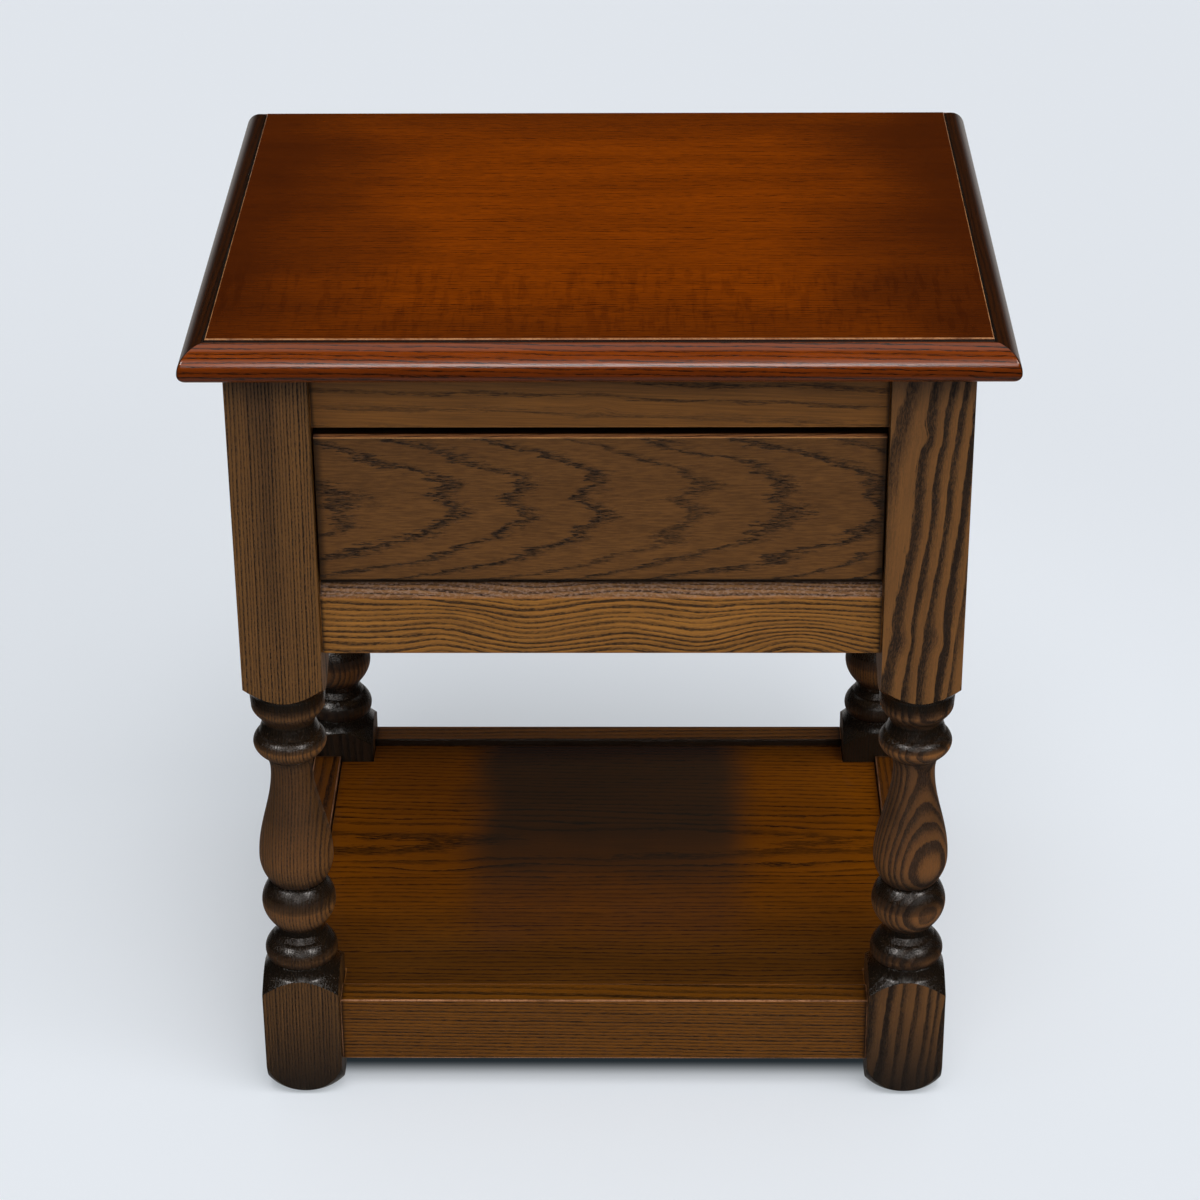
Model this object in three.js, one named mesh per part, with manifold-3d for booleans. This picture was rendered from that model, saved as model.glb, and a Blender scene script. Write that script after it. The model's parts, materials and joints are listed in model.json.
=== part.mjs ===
// Lamp table in dark oak: a moulded top on four turned legs, a case with one drawer
// and a low shelf held inside a frame of stretchers.
// Millimetres, +Z up, the drawer faces -Y. The origin is on the floor under the middle.

import * as THREE from 'three';
import { mergeVertices } from 'three/addons/utils/BufferGeometryUtils.js';
import Module from 'manifold-3d';

// Driving dimensions in plan
const legStock = 50.8;
const legSpanX = 454.9;
const legSpanY = 375.5;
const topOverhangX = 24.6;
const topOverhangY = 22.05;
const mouldingWidth = 16.2;
const railSetback = 7.2;
const stretcherThickness = 19.8;

// Driving heights: the whole table, and the parts of a leg from the floor up. The rings
// of the turning stretch together to fill what the other heights leave.
const tableHeight = 560.9;
const footRounding = 37;
const footRadius = 16.5;
const lowerBlockHeight = 91.6;
const shoulderHeight = 7.6;
const lowBeadUnderHeight = 5.8;
const lowBeadOverHeight = 10.3;
const lowBeadCapHeight = 5.3;
const filletHeight = 3.6;
const middleBeadUnderHeight = 18.5;
const middleBeadOverHeight = 16.4;
const vaseFootHeight = 18.8;
const vaseRiseHeight = 66;
const neckHeight = 10.5;
const highBeadUnderHeight = 10.9;
const highBeadOverHeight = 7.3;
const highBeadCapHeight = 7.7;
const reelHeight = 12.3;
const reelCapHeight = 10.7;
const upperShoulderHeight = 1.9;
const blockTail = 33;

// Driving radii of the turning
const shoulderRadius = 22.6;
const beadRadius = 24.1;
const beadCapRadius = 18.6;
const filletRadius = 15.6;
const bulbRadius = 24.4;
const vaseFootRadius = 17.8;
const neckRadius = 13.6;
const neckRingRadius = 15.9;
const highBeadRadius = 23.7;
const highBeadCapRadius = 19.8;
const reelNotchRadius = 17.1;
const reelRadius = 23.7;
const reelCapRadius = 24.5;
const shoulderSpread = 10.5;
const cornerSlack = 1.5;

// Driving heights of the case and the top
const bottomRailHeight = 50.6;
const drawerFloorGap = 1.5;
const drawerFrontHeight = 98.4;
const drawerHeadGap = 7.1;
const topRailHeight = 41.7;
const topThickness = 23.4;
const topQuirk = 1.8;
const mouldingFlat = 1;
const mouldingDrop = 15.4;
const mouldingUnderRound = 6.2;
const railChamfer = 10.6;

// Driving dimensions of the lower frame and the shelf
const stretcherLift = 24.9;
const stretcherHeight = 47.6;
const shelfDrop = 4.8;
const shelfThickness = 14;
const cleatSize = 16;

// Driving dimensions of the joinery
const tenonThickness = 8;
const tenonLength = 22;
const tenonShoulder = 10.5;
const casePanelThickness = 6;
const railLip = 0.6;
const grooveBackWall = 4.8;
const grooveDepth = 6;
const mortiseSlack = 1;
const fitGap = 0.3;
const overcut = 1;

// Driving dimensions of the drawer and what carries it
const drawerRecess = 1;
const drawerFrontThickness = 18;
const drawerSideThickness = 12;
const drawerSideDrop = 2.1;
const drawerBottomThickness = 5;
const drawerBottomLift = 9;
const drawerSideGap = 1.2;
const drawerBottomHousing = 5;
const dovetailLength = 12;
const dovetailRoot = 14;
const dovetailFlare = 2.4;
const dovetailCount = 3;
const fingerGrooveRadius = 6;
const fingerGrooveLength = 220;
const fingerGrooveInset = 9.5;
const runnerThickness = 24;
const runnerShelf = 15;
const guideHeight = 14;
const kickerThickness = 26;
const kickerGap = 1.5;
const stopWidth = 12;
const stopDepth = 8;
const stopHeight = 12;

// Driving dimensions of the fixings
const topBlockLength = 46;
const topBlockSize = 20;
const topBlockPlace = 95;
const screwHeadRadius = 4;
const screwRim = 0.6;
const screwConeHeight = 2.8;
const screwShankRadius = 2;
const screwTipLength = 4;
const screwTipGap = 0.9;
const screwBite = 12;
const runnerScrewInset = 37;
const cleatScrewInset = 47;

// Facets of the round shapes
const lathePanes = 20;
const screwPanes = 8;
const groovePanes = 12;
const roundSteps = 6;

// Finishes
const finishes = {
  topField: { color: 0x6b2d10, roughness: 0.32, metalness: 0 },
  moulding: { color: 0x4e1f0d, roughness: 0.25, metalness: 0 },
  leg: { color: 0x5d3b1d, roughness: 0.45, metalness: 0 },
  rail: { color: 0x5a381b, roughness: 0.45, metalness: 0 },
  drawerFront: { color: 0x46301b, roughness: 0.45, metalness: 0 },
  casePanel: { color: 0x4d321b, roughness: 0.45, metalness: 0 },
  stretcher: { color: 0x563518, roughness: 0.42, metalness: 0 },
  shelf: { color: 0x6a3810, roughness: 0.38, metalness: 0 },
  inside: { color: 0x9a7248, roughness: 0.6, metalness: 0 },
  steel: { color: 0x8d8a84, roughness: 0.4, metalness: 0.9 },
};

// Heights of the lower frame, worked out upwards
const stretcherTop = stretcherLift + stretcherHeight;
const shelfTop = stretcherTop - shelfDrop;
const shelfUnder = shelfTop - shelfThickness;

// Heights of the case, worked out downwards from the top
const tableTop = tableHeight;
const caseTop = tableTop - topThickness;
const topRailUnder = caseTop - topRailHeight;
const drawerFrontTop = topRailUnder - drawerHeadGap;
const drawerUnder = drawerFrontTop - drawerFrontHeight;
const bottomRailTop = drawerUnder - drawerFloorGap;
const bottomRailUnder = bottomRailTop - bottomRailHeight;

// How far the rings of the turning stretch to fill the length between the square blocks
const ringHeights = shoulderHeight + lowBeadUnderHeight + lowBeadOverHeight
  + lowBeadCapHeight + filletHeight + middleBeadUnderHeight + middleBeadOverHeight
  + vaseFootHeight + vaseRiseHeight + neckHeight + highBeadUnderHeight + highBeadOverHeight
  + highBeadCapHeight + reelHeight + reelCapHeight + upperShoulderHeight;
const ringStretch = (bottomRailUnder - blockTail - lowerBlockHeight) / ringHeights;

// Places in plan, measured out from the middle
const casePanelReveal = railChamfer + railLip;
const railThickness = casePanelReveal + casePanelThickness + grooveBackWall;
const legOuterX = legSpanX / 2;
const legOuterY = legSpanY / 2;
const legInnerX = legOuterX - legStock;
const legInnerY = legOuterY - legStock;
const railFaceX = legOuterX - railSetback;
const railFaceY = legOuterY - railSetback;
const railBackX = railFaceX - railThickness;
const railBackY = railFaceY - railThickness;
const stretcherBackX = railFaceX - stretcherThickness;
const stretcherBackY = railFaceY - stretcherThickness;
const fieldX = legOuterX + topOverhangX - mouldingWidth;
const fieldY = legOuterY + topOverhangY - mouldingWidth;
const panelFaceX = railFaceX - casePanelReveal;
const panelFaceY = railFaceY - casePanelReveal;
const runnerInnerX = legInnerX - runnerShelf;

const wasm = await Module();
wasm.setup();

// Turns a closed geometry into a solid that can be cut and joined.
function solid(geometry) {
  const bare = geometry.clone();
  bare.deleteAttribute('normal');
  bare.deleteAttribute('uv');
  const merged = mergeVertices(bare, 1e-4);
  const index = merged.index.array;
  const triangles = [];
  for (let i = 0; i < index.length; i += 3) {
    const [a, b, c] = [index[i], index[i + 1], index[i + 2]];
    if (a !== b && b !== c && c !== a) triangles.push(a, b, c);
  }
  const mesh = new wasm.Mesh({
    numProp: 3,
    vertProperties: new Float32Array(merged.attributes.position.array),
    triVerts: new Uint32Array(triangles),
  });
  return new wasm.Manifold(mesh);
}

function geometryOf(body) {
  const mesh = body.getMesh();
  const geometry = new THREE.BufferGeometry();
  geometry.setAttribute('position', new THREE.Float32BufferAttribute(mesh.vertProperties, 3));
  geometry.setIndex(Array.from(mesh.triVerts));
  geometry.computeVertexNormals();
  return geometry;
}

function join(first, ...others) {
  return others.reduce((body, other) => body.add(other), first);
}

function cut(first, ...tools) {
  return tools.reduce((body, tool) => body.subtract(tool), first);
}

// A block between two corners.
function block(low, high) {
  const size = high.map((value, i) => value - low[i]);
  const geometry = new THREE.BoxGeometry(...size);
  geometry.translate(...low.map((value, i) => value + size[i] / 2));
  return solid(geometry);
}

// An outline pushed along one axis. Along x it is drawn in (y, z), along y in (x, z)
// and along z in (x, y).
function prism(points, axis, from, to) {
  const shape = new THREE.Shape(points.map(([u, v]) => new THREE.Vector2(u, v)));
  const geometry = new THREE.ExtrudeGeometry(shape, { depth: to - from, bevelEnabled: false });
  const [x, y, z] = [new THREE.Vector3(1, 0, 0), new THREE.Vector3(0, 1, 0), new THREE.Vector3(0, 0, 1)];
  const turn = new THREE.Matrix4();
  if (axis === 'x') {
    turn.makeBasis(y, z, x).setPosition(from, 0, 0);
  } else if (axis === 'y') {
    turn.makeBasis(x, z, y.clone().negate()).setPosition(0, to, 0);
  } else {
    turn.makeBasis(x, y, z).setPosition(0, 0, from);
  }
  geometry.applyMatrix4(turn);
  return solid(geometry);
}

// A profile of [radius, height] pairs turned round the vertical axis.
function turned(profile, panes) {
  const points = profile.map(([radius, height]) => new THREE.Vector2(radius, height));
  const geometry = new THREE.LatheGeometry(points, panes, Math.PI / panes);
  geometry.rotateX(Math.PI / 2);
  return solid(geometry);
}

function mirroredX(body) {
  return body.mirror([1, 0, 0]);
}

function mirroredY(body) {
  return body.mirror([0, 1, 0]);
}

// Laws for how the radius moves from one ring of the turning to the next.
const straight = (t) => t;
const swell = (t) => 1 - (1 - t) ** 2;
const fall = (t) => t ** 2;
const cove = (t) => 1 - (1 - t) ** 1.6;
const flare = (t) => t ** 1.8;
const wave = (t) => (1 - Math.cos(Math.PI * t)) / 2;

// The whole profile of a leg, as the lathe leaves it. Where it is wider than the square
// stock, the flat faces of the stock stay.
function legProfile() {
  const clearRadius = legStock * Math.SQRT1_2 + cornerSlack;
  const profile = [[0, 0], [footRadius, 0]];
  let height = 0;
  let radius = footRadius;

  function stage(rise, endRadius, law, steps) {
    const [startHeight, startRadius] = [height, radius];
    for (let i = 1; i <= steps; i += 1) {
      const t = i / steps;
      profile.push([startRadius + (endRadius - startRadius) * law(t), startHeight + rise * t]);
    }
    height = startHeight + rise;
    radius = endRadius;
  }

  function ring(rise, endRadius, law, steps) {
    stage(rise * ringStretch, endRadius, law, steps);
  }

  const spreadShare = (clearRadius - legStock / 2) / (legStock * (Math.SQRT1_2 - 0.5));
  const spread = shoulderSpread * spreadShare;
  stage(footRounding, clearRadius, (t) => Math.sqrt(1 - (1 - t) ** 2), 4);
  stage(lowerBlockHeight - footRounding - spread, clearRadius, straight, 1);
  stage(spread, legStock / 2, straight, 2);
  ring(shoulderHeight, shoulderRadius, cove, 2);
  ring(lowBeadUnderHeight, beadRadius, swell, 2);
  ring(lowBeadOverHeight, beadCapRadius, fall, 4);
  ring(lowBeadCapHeight, filletRadius, straight, 1);
  ring(filletHeight, filletRadius, straight, 1);
  ring(middleBeadUnderHeight, bulbRadius, swell, 4);
  ring(middleBeadOverHeight, vaseFootRadius, fall, 4);
  ring(vaseFootHeight, bulbRadius, swell, 3);
  ring(vaseRiseHeight, neckRadius, wave, 7);
  ring(neckHeight, neckRingRadius, fall, 2);
  ring(highBeadUnderHeight, highBeadRadius, swell, 3);
  ring(highBeadOverHeight, highBeadCapRadius, fall, 2);
  ring(highBeadCapHeight, reelNotchRadius, straight, 1);
  ring(reelHeight, reelRadius, wave, 4);
  ring(reelCapHeight, reelCapRadius, straight, 1);
  ring(upperShoulderHeight, legStock / 2, flare, 1);
  stage(spread, clearRadius, straight, 2);
  stage(caseTop - height, clearRadius, straight, 1);
  profile.push([0, caseTop]);
  return profile;
}

// The end of a rail that lies along x, at the +x side: its tenon, or with a gap the
// mortise for it. Both are drawn as blocks, low and high in y and z.
function tenonAlongX(low, high, gap) {
  const [mouth, deep] = gap > 0 ? [overcut, mortiseSlack] : [0, 0];
  return block(
    [legInnerX - mouth, low[0] - gap, low[1] - gap],
    [legInnerX + tenonLength + deep, high[0] + gap, high[1] + gap],
  );
}

function tenonAlongY(low, high, gap) {
  const [mouth, deep] = gap > 0 ? [overcut, mortiseSlack] : [0, 0];
  return block(
    [low[0] - gap, legInnerY - mouth, low[1] - gap],
    [high[0] + gap, legInnerY + tenonLength + deep, high[1] + gap],
  );
}

// The two y (or x) limits of a tenon in a rail between its face and its back.
function tenonBand(face, back) {
  const middle = (face + back) / 2;
  return [middle - tenonThickness / 2, middle + tenonThickness / 2];
}

// The heights of the three kinds of tenon.
const tenonHeights = {
  stretcher: [stretcherLift + tenonShoulder, stretcherTop - tenonShoulder],
  bottomRail: [bottomRailUnder + tenonShoulder, bottomRailTop - tenonShoulder - grooveDepth / 2],
  topRail: [topRailUnder + tenonShoulder, caseTop - tenonShoulder],
};

function tenonSetX(kind, gap) {
  const back = kind === 'stretcher' ? stretcherBackY : railBackY;
  const [near, far] = tenonBand(railFaceY, back);
  const [under, over] = tenonHeights[kind];
  return tenonAlongX([near, under], [far, over], gap);
}

function tenonSetY(kind, gap) {
  const back = kind === 'stretcher' ? stretcherBackX : railBackX;
  const [near, far] = tenonBand(railFaceX, back);
  const [under, over] = tenonHeights[kind];
  return tenonAlongY([near, under], [far, over], gap);
}

// One leg at +x +y. A front leg has a panel groove only towards the side panel.
function leg(isBack) {
  const stock = block([legInnerX, legInnerY, 0], [legOuterX, legOuterY, caseTop]);
  const round = turned(legProfile(), lathePanes)
    .translate([legOuterX - legStock / 2, legOuterY - legStock / 2, 0]);
  const kinds = Object.keys(tenonHeights);
  const mortises = kinds.flatMap((kind) => [tenonSetX(kind, fitGap), tenonSetY(kind, fitGap)]);
  const grooveLow = bottomRailTop - grooveDepth - fitGap;
  const grooveHigh = topRailUnder + grooveDepth + fitGap;
  const grooves = [block(
    [panelFaceX - casePanelThickness - fitGap, legInnerY - overcut, grooveLow],
    [panelFaceX + fitGap, legInnerY + grooveDepth + fitGap, grooveHigh],
  )];
  if (isBack) {
    grooves.push(block(
      [legInnerX - overcut, panelFaceY - casePanelThickness - fitGap, grooveLow],
      [legInnerX + grooveDepth + fitGap, panelFaceY + fitGap, grooveHigh],
    ));
  }
  return cut(stock.intersect(round), ...mortises, ...grooves);
}

// The section of a rail, whose upper outer edge may be chamfered.
function railSection(face, back, under, over, chamfer) {
  const edge = chamfer > 0 ? [[face, over - chamfer], [face - chamfer, over]] : [[face, over]];
  return [[back, under], [face, under], ...edge, [back, over]];
}

// A rail between two legs at +y, lying along x, with a tenon at each end.
function railAlongX(kind, back, under, over, chamfer) {
  const section = railSection(railFaceY, back, under, over, chamfer);
  const tenon = tenonSetX(kind, 0);
  return join(prism(section, 'x', -legInnerX, legInnerX), tenon, mirroredX(tenon));
}

// A rail between two legs at +x, lying along y, with a tenon at each end.
function railAlongY(kind, back, under, over, chamfer) {
  const section = railSection(railFaceX, back, under, over, chamfer);
  const tenon = tenonSetY(kind, 0);
  return join(prism(section, 'y', -legInnerY, legInnerY), tenon, mirroredY(tenon));
}

// The groove that a case panel sits in, cut into a rail edge at the height given.
function panelGrooveX(low, high) {
  return block(
    [-legInnerX - overcut, panelFaceY - casePanelThickness - fitGap, low],
    [legInnerX + overcut, panelFaceY + fitGap, high],
  );
}

function panelGrooveY(low, high) {
  return block(
    [panelFaceX - casePanelThickness - fitGap, -legInnerY - overcut, low],
    [panelFaceX + fitGap, legInnerY + overcut, high],
  );
}

// A countersunk wood screw that starts at a point and runs the way given.
function screwShape(start, way, length, gap) {
  const profile = [
    [0, -gap],
    [screwHeadRadius + gap, -gap],
    [screwHeadRadius + gap, screwRim],
    [screwShankRadius + gap, screwRim + screwConeHeight],
    [screwShankRadius + gap, length - screwTipLength],
    [0, length + (gap > 0 ? screwTipGap : 0)],
  ];
  const points = profile.map(([radius, height]) => new THREE.Vector2(radius, height));
  const geometry = new THREE.LatheGeometry(points, screwPanes);
  const spin = new THREE.Quaternion().setFromUnitVectors(
    new THREE.Vector3(0, 1, 0),
    new THREE.Vector3(...way),
  );
  geometry.applyMatrix4(new THREE.Matrix4().makeRotationFromQuaternion(spin).setPosition(...start));
  return solid(geometry);
}

const screw = (start, way, length) => screwShape(start, way, length, 0);
const screwHole = (start, way, length) => screwShape(start, way, length, fitGap);

const table = new THREE.Group();

function place(name, body, finish) {
  const mesh = new THREE.Mesh(geometryOf(body), new THREE.MeshStandardMaterial(finishes[finish]));
  mesh.name = name;
  table.add(mesh);
}

// Screws that hold the blocks to the top, the cleats to the stretchers and the runners
// and kickers to the side rails. Each is a name, a start point and the way it runs.
const topScrewLength = topBlockSize + screwBite;
const topBlockY = railBackY - topBlockSize / 2;
const runnerZ = drawerUnder - runnerThickness / 2;
const kickerUnder = drawerFrontTop - drawerSideDrop + kickerGap;
const kickerZ = (topRailUnder + grooveDepth + kickerUnder + kickerThickness) / 2;
const sideScrewLength = railBackX - runnerInnerX + screwBite;
const cleatScrewLength = cleatSize + screwBite;
const cleatZ = shelfUnder - cleatSize / 2;
const sides = [['left', -1], ['right', 1]];
const ends = [['front', -1], ['back', 1]];

const topScrews = [];
const runnerScrews = [];
const kickerScrews = [];
const cleatScrews = [];
for (const [sideWord, side] of sides) {
  const innerX = side * (runnerInnerX + fitGap);
  for (const [endWord, end] of ends) {
    const where = `${endWord}_${sideWord}`;
    const topStart = [side * topBlockPlace, end * topBlockY, caseTop - topBlockSize + fitGap];
    const runnerStart = [innerX, end * (legInnerY - runnerScrewInset), runnerZ];
    const cleatX = stretcherBackX - cleatSize + fitGap;
    const cleatStart = [side * cleatX, end * (legInnerY - cleatScrewInset), cleatZ];
    topScrews.push([`top_screw_${where}`, topStart, [0, 0, 1]]);
    runnerScrews.push([`runner_screw_${where}`, runnerStart, [side, 0, 0]]);
    cleatScrews.push([`cleat_screw_${where}`, cleatStart, [side, 0, 0]]);
  }
  kickerScrews.push([`kicker_screw_${sideWord}`, [innerX, 0, kickerZ], [side, 0, 0]]);
}

const holesFor = (list, length) => list.map(([, start, way]) => screwHole(start, way, length));
const topHoles = holesFor(topScrews, topScrewLength);
const runnerHoles = holesFor(runnerScrews, sideScrewLength);
const kickerHoles = holesFor(kickerScrews, sideScrewLength);
const cleatHoles = holesFor(cleatScrews, cleatScrewLength);

function placeScrews(list, length) {
  for (const [name, start, way] of list) place(name, screw(start, way, length), 'steel');
}

// Top
const field = block([-fieldX, -fieldY, caseTop], [fieldX, fieldY, tableTop]);
place('top_panel', cut(field, ...topHoles), 'topField');

// The section of the edge moulding as [distance out from the field, height] pairs: a
// small step down from the field, a thumb round and an under round.
function mouldingSection() {
  const crown = tableTop - topQuirk;
  const widest = crown - mouldingDrop;
  const section = [[0, caseTop], [0, crown]];
  for (let i = 0; i <= roundSteps; i += 1) {
    const angle = (Math.PI / 2) * (i / roundSteps);
    const out = mouldingFlat + (mouldingWidth - mouldingFlat) * Math.sin(angle);
    section.push([out, widest + mouldingDrop * Math.cos(angle)]);
  }
  const roundCentre = [mouldingWidth - mouldingUnderRound, caseTop + mouldingUnderRound];
  for (let i = 0; i <= roundSteps; i += 1) {
    const angle = (Math.PI / 2) * (i / roundSteps);
    section.push([
      roundCentre[0] + mouldingUnderRound * Math.cos(angle),
      roundCentre[1] - mouldingUnderRound * Math.sin(angle),
    ]);
  }
  return section;
}

// One length of moulding along x at +y. The ends run out with the section, so that
// they meet the next length in a mitre.
function mouldingLength(halfLength, face) {
  const shape = new THREE.Shape(mouldingSection().map(([out, z]) => new THREE.Vector2(out, z)));
  const geometry = new THREE.ExtrudeGeometry(shape, { depth: 1, bevelEnabled: false });
  const corners = geometry.attributes.position;
  for (let i = 0; i < corners.count; i += 1) {
    const out = corners.getX(i);
    const end = corners.getZ(i) === 0 ? -1 : 1;
    corners.setXYZ(i, end * (halfLength + out - fitGap / 2), face + out, corners.getY(i));
  }
  return solid(geometry);
}

const longMoulding = mouldingLength(fieldX, fieldY);
const shortMoulding = mouldingLength(fieldY, fieldX).rotate([0, 0, -90]);
place('top_moulding_front', longMoulding.rotate([0, 0, 180]), 'moulding');
place('top_moulding_back', longMoulding, 'moulding');
place('top_moulding_right', shortMoulding, 'moulding');
place('top_moulding_left', shortMoulding.rotate([0, 0, 180]), 'moulding');

// Legs
const frontLeg = leg(false);
const backLeg = leg(true);
place('leg_front_left', mirroredX(mirroredY(frontLeg)), 'leg');
place('leg_front_right', mirroredY(frontLeg), 'leg');
place('leg_back_left', mirroredX(backLeg), 'leg');
place('leg_back_right', backLeg, 'leg');

// Case rails
const topRailX = railAlongX('topRail', railBackY, topRailUnder, caseTop, 0);
const bottomRailX = railAlongX('bottomRail', railBackY, bottomRailUnder, bottomRailTop, railChamfer);
const lowGrooveX = panelGrooveX(bottomRailTop - grooveDepth - fitGap, bottomRailTop + overcut);
const highGrooveX = panelGrooveX(topRailUnder - overcut, topRailUnder + grooveDepth + fitGap);
place('front_top_rail', mirroredY(topRailX), 'rail');
place('front_bottom_rail', mirroredY(bottomRailX), 'rail');
place('back_top_rail', cut(topRailX, highGrooveX), 'rail');
place('back_bottom_rail', cut(bottomRailX, lowGrooveX), 'rail');

const topRailY = railAlongY('topRail', railBackX, topRailUnder, caseTop, 0);
const bottomRailY = railAlongY('bottomRail', railBackX, bottomRailUnder, bottomRailTop, railChamfer);
const lowGrooveY = panelGrooveY(bottomRailTop - grooveDepth - fitGap, bottomRailTop + overcut);
const highGrooveY = panelGrooveY(topRailUnder - overcut, topRailUnder + grooveDepth + fitGap);
for (const [word, side] of sides) {
  const turn = side < 0 ? mirroredX : (body) => body;
  place(`${word}_top_rail`, cut(turn(cut(topRailY, highGrooveY)), ...kickerHoles), 'rail');
  place(`${word}_bottom_rail`, cut(turn(cut(bottomRailY, lowGrooveY)), ...runnerHoles), 'rail');
}

// Case panels, loose in the grooves of the rails and legs
const panelLow = bottomRailTop - grooveDepth;
const panelHigh = topRailUnder + grooveDepth;
place('back_panel', block(
  [-legInnerX - grooveDepth, panelFaceY - casePanelThickness, panelLow],
  [legInnerX + grooveDepth, panelFaceY, panelHigh],
), 'casePanel');
const sidePanel = block(
  [panelFaceX - casePanelThickness, -legInnerY - grooveDepth, panelLow],
  [panelFaceX, legInnerY + grooveDepth, panelHigh],
);
place('left_panel', mirroredX(sidePanel), 'casePanel');
place('right_panel', sidePanel, 'casePanel');

// Blocks that hold the top to the rails
for (const [sideWord, side] of sides) {
  for (const [endWord, end] of ends) {
    const x = side * topBlockPlace;
    const y = end * topBlockY;
    const shape = block(
      [x - topBlockLength / 2, y - topBlockSize / 2, caseTop - topBlockSize],
      [x + topBlockLength / 2, y + topBlockSize / 2, caseTop],
    );
    place(`top_block_${endWord}_${sideWord}`, cut(shape, ...topHoles), 'inside');
  }
}
placeScrews(topScrews, topScrewLength);

// Runners, guides, kickers and stops. A runner and a kicker are notched round the legs.
function railStrip(low, high) {
  const outline = [
    [runnerInnerX, -railBackY], [legInnerX, -railBackY], [legInnerX, -legInnerY],
    [railBackX, -legInnerY], [railBackX, legInnerY], [legInnerX, legInnerY],
    [legInnerX, railBackY], [runnerInnerX, railBackY],
  ];
  return prism(outline, 'z', low, high);
}

const drawerFaceY = -railFaceY + drawerRecess;
const drawerEndY = railBackY - stopDepth - fitGap;
const runner = railStrip(drawerUnder - runnerThickness, drawerUnder);
const kicker = railStrip(kickerUnder, kickerUnder + kickerThickness);
const guide = block(
  [legInnerX, -legInnerY, drawerUnder],
  [railBackX, legInnerY, drawerUnder + guideHeight],
);
const stop = block(
  [runnerInnerX, railBackY - stopDepth, drawerUnder],
  [runnerInnerX + stopWidth, railBackY, drawerUnder + stopHeight],
);
for (const [word, side] of sides) {
  const turn = side < 0 ? mirroredX : (body) => body;
  place(`drawer_runner_${word}`, cut(turn(runner), ...runnerHoles), 'inside');
  place(`drawer_guide_${word}`, turn(guide), 'inside');
  place(`drawer_kicker_${word}`, cut(turn(kicker), ...kickerHoles), 'inside');
  place(`drawer_stop_${word}`, turn(stop), 'inside');
}
placeScrews(runnerScrews, sideScrewLength);
placeScrews(kickerScrews, sideScrewLength);

// Drawer
const drawerHalf = legInnerX - drawerSideGap;
const sideInner = drawerHalf - drawerSideThickness;
const sideUnder = drawerUnder + fitGap;
const sideTop = drawerFrontTop - drawerSideDrop;
const frontBackY = drawerFaceY + drawerFrontThickness;
const bottomUnder = sideUnder + drawerBottomLift;
const bottomTop = bottomUnder + drawerBottomThickness;

// The dovetails at the front end of the drawer side at +x. They widen towards the front.
function dovetails(gap) {
  const pitch = (sideTop - sideUnder) / dovetailCount;
  const tails = [];
  for (let i = 0; i < dovetailCount; i += 1) {
    const middle = sideUnder + pitch * (i + 0.5);
    const root = dovetailRoot / 2 + gap;
    const tip = root + dovetailFlare;
    tails.push(prism(
      [
        [frontBackY + overcut, middle - root], [frontBackY + overcut, middle + root],
        [frontBackY, middle + root], [frontBackY - dovetailLength - gap, middle + tip],
        [frontBackY - dovetailLength - gap, middle - tip], [frontBackY, middle - root],
      ].reverse(),
      'x',
      sideInner - gap,
      drawerHalf + (gap > 0 ? overcut : 0),
    ));
  }
  return join(...tails);
}

const bottomHousing = drawerBottomHousing + fitGap;
const bottomHalf = sideInner + drawerBottomHousing;
const bottomGroove = block(
  [-sideInner - bottomHousing, frontBackY - bottomHousing, bottomUnder - fitGap],
  [sideInner + bottomHousing, drawerEndY + overcut, bottomTop + fitGap],
);
const tailSockets = dovetails(fitGap);
const fingerGroove = new THREE.CylinderGeometry(
  fingerGrooveRadius,
  fingerGrooveRadius,
  fingerGrooveLength,
  groovePanes,
);
fingerGroove.rotateZ(Math.PI / 2);
fingerGroove.translate(0, drawerFaceY + fingerGrooveInset, drawerUnder);
place('drawer_front', cut(
  block([-drawerHalf, drawerFaceY, drawerUnder], [drawerHalf, frontBackY, drawerFrontTop]),
  tailSockets,
  mirroredX(tailSockets),
  bottomGroove,
  solid(fingerGroove),
), 'drawerFront');

const drawerSide = cut(
  join(block([sideInner, frontBackY, sideUnder], [drawerHalf, drawerEndY, sideTop]), dovetails(0)),
  bottomGroove,
);
place('drawer_side_left', mirroredX(drawerSide), 'inside');
place('drawer_side_right', drawerSide, 'inside');
place('drawer_back', block(
  [-sideInner, drawerEndY - drawerSideThickness, bottomTop + fitGap],
  [sideInner, drawerEndY, sideTop],
), 'inside');
place('drawer_bottom', block(
  [-bottomHalf, frontBackY - drawerBottomHousing, bottomUnder],
  [bottomHalf, drawerEndY, bottomTop],
), 'inside');

// Lower frame
const stretcherX = railAlongX('stretcher', stretcherBackY, stretcherLift, stretcherTop, 0);
const stretcherY = railAlongY('stretcher', stretcherBackX, stretcherLift, stretcherTop, 0);
place('front_stretcher', mirroredY(stretcherX), 'stretcher');
place('back_stretcher', stretcherX, 'stretcher');
place('left_stretcher', cut(mirroredX(stretcherY), ...cleatHoles), 'stretcher');
place('right_stretcher', cut(stretcherY, ...cleatHoles), 'stretcher');

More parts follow.
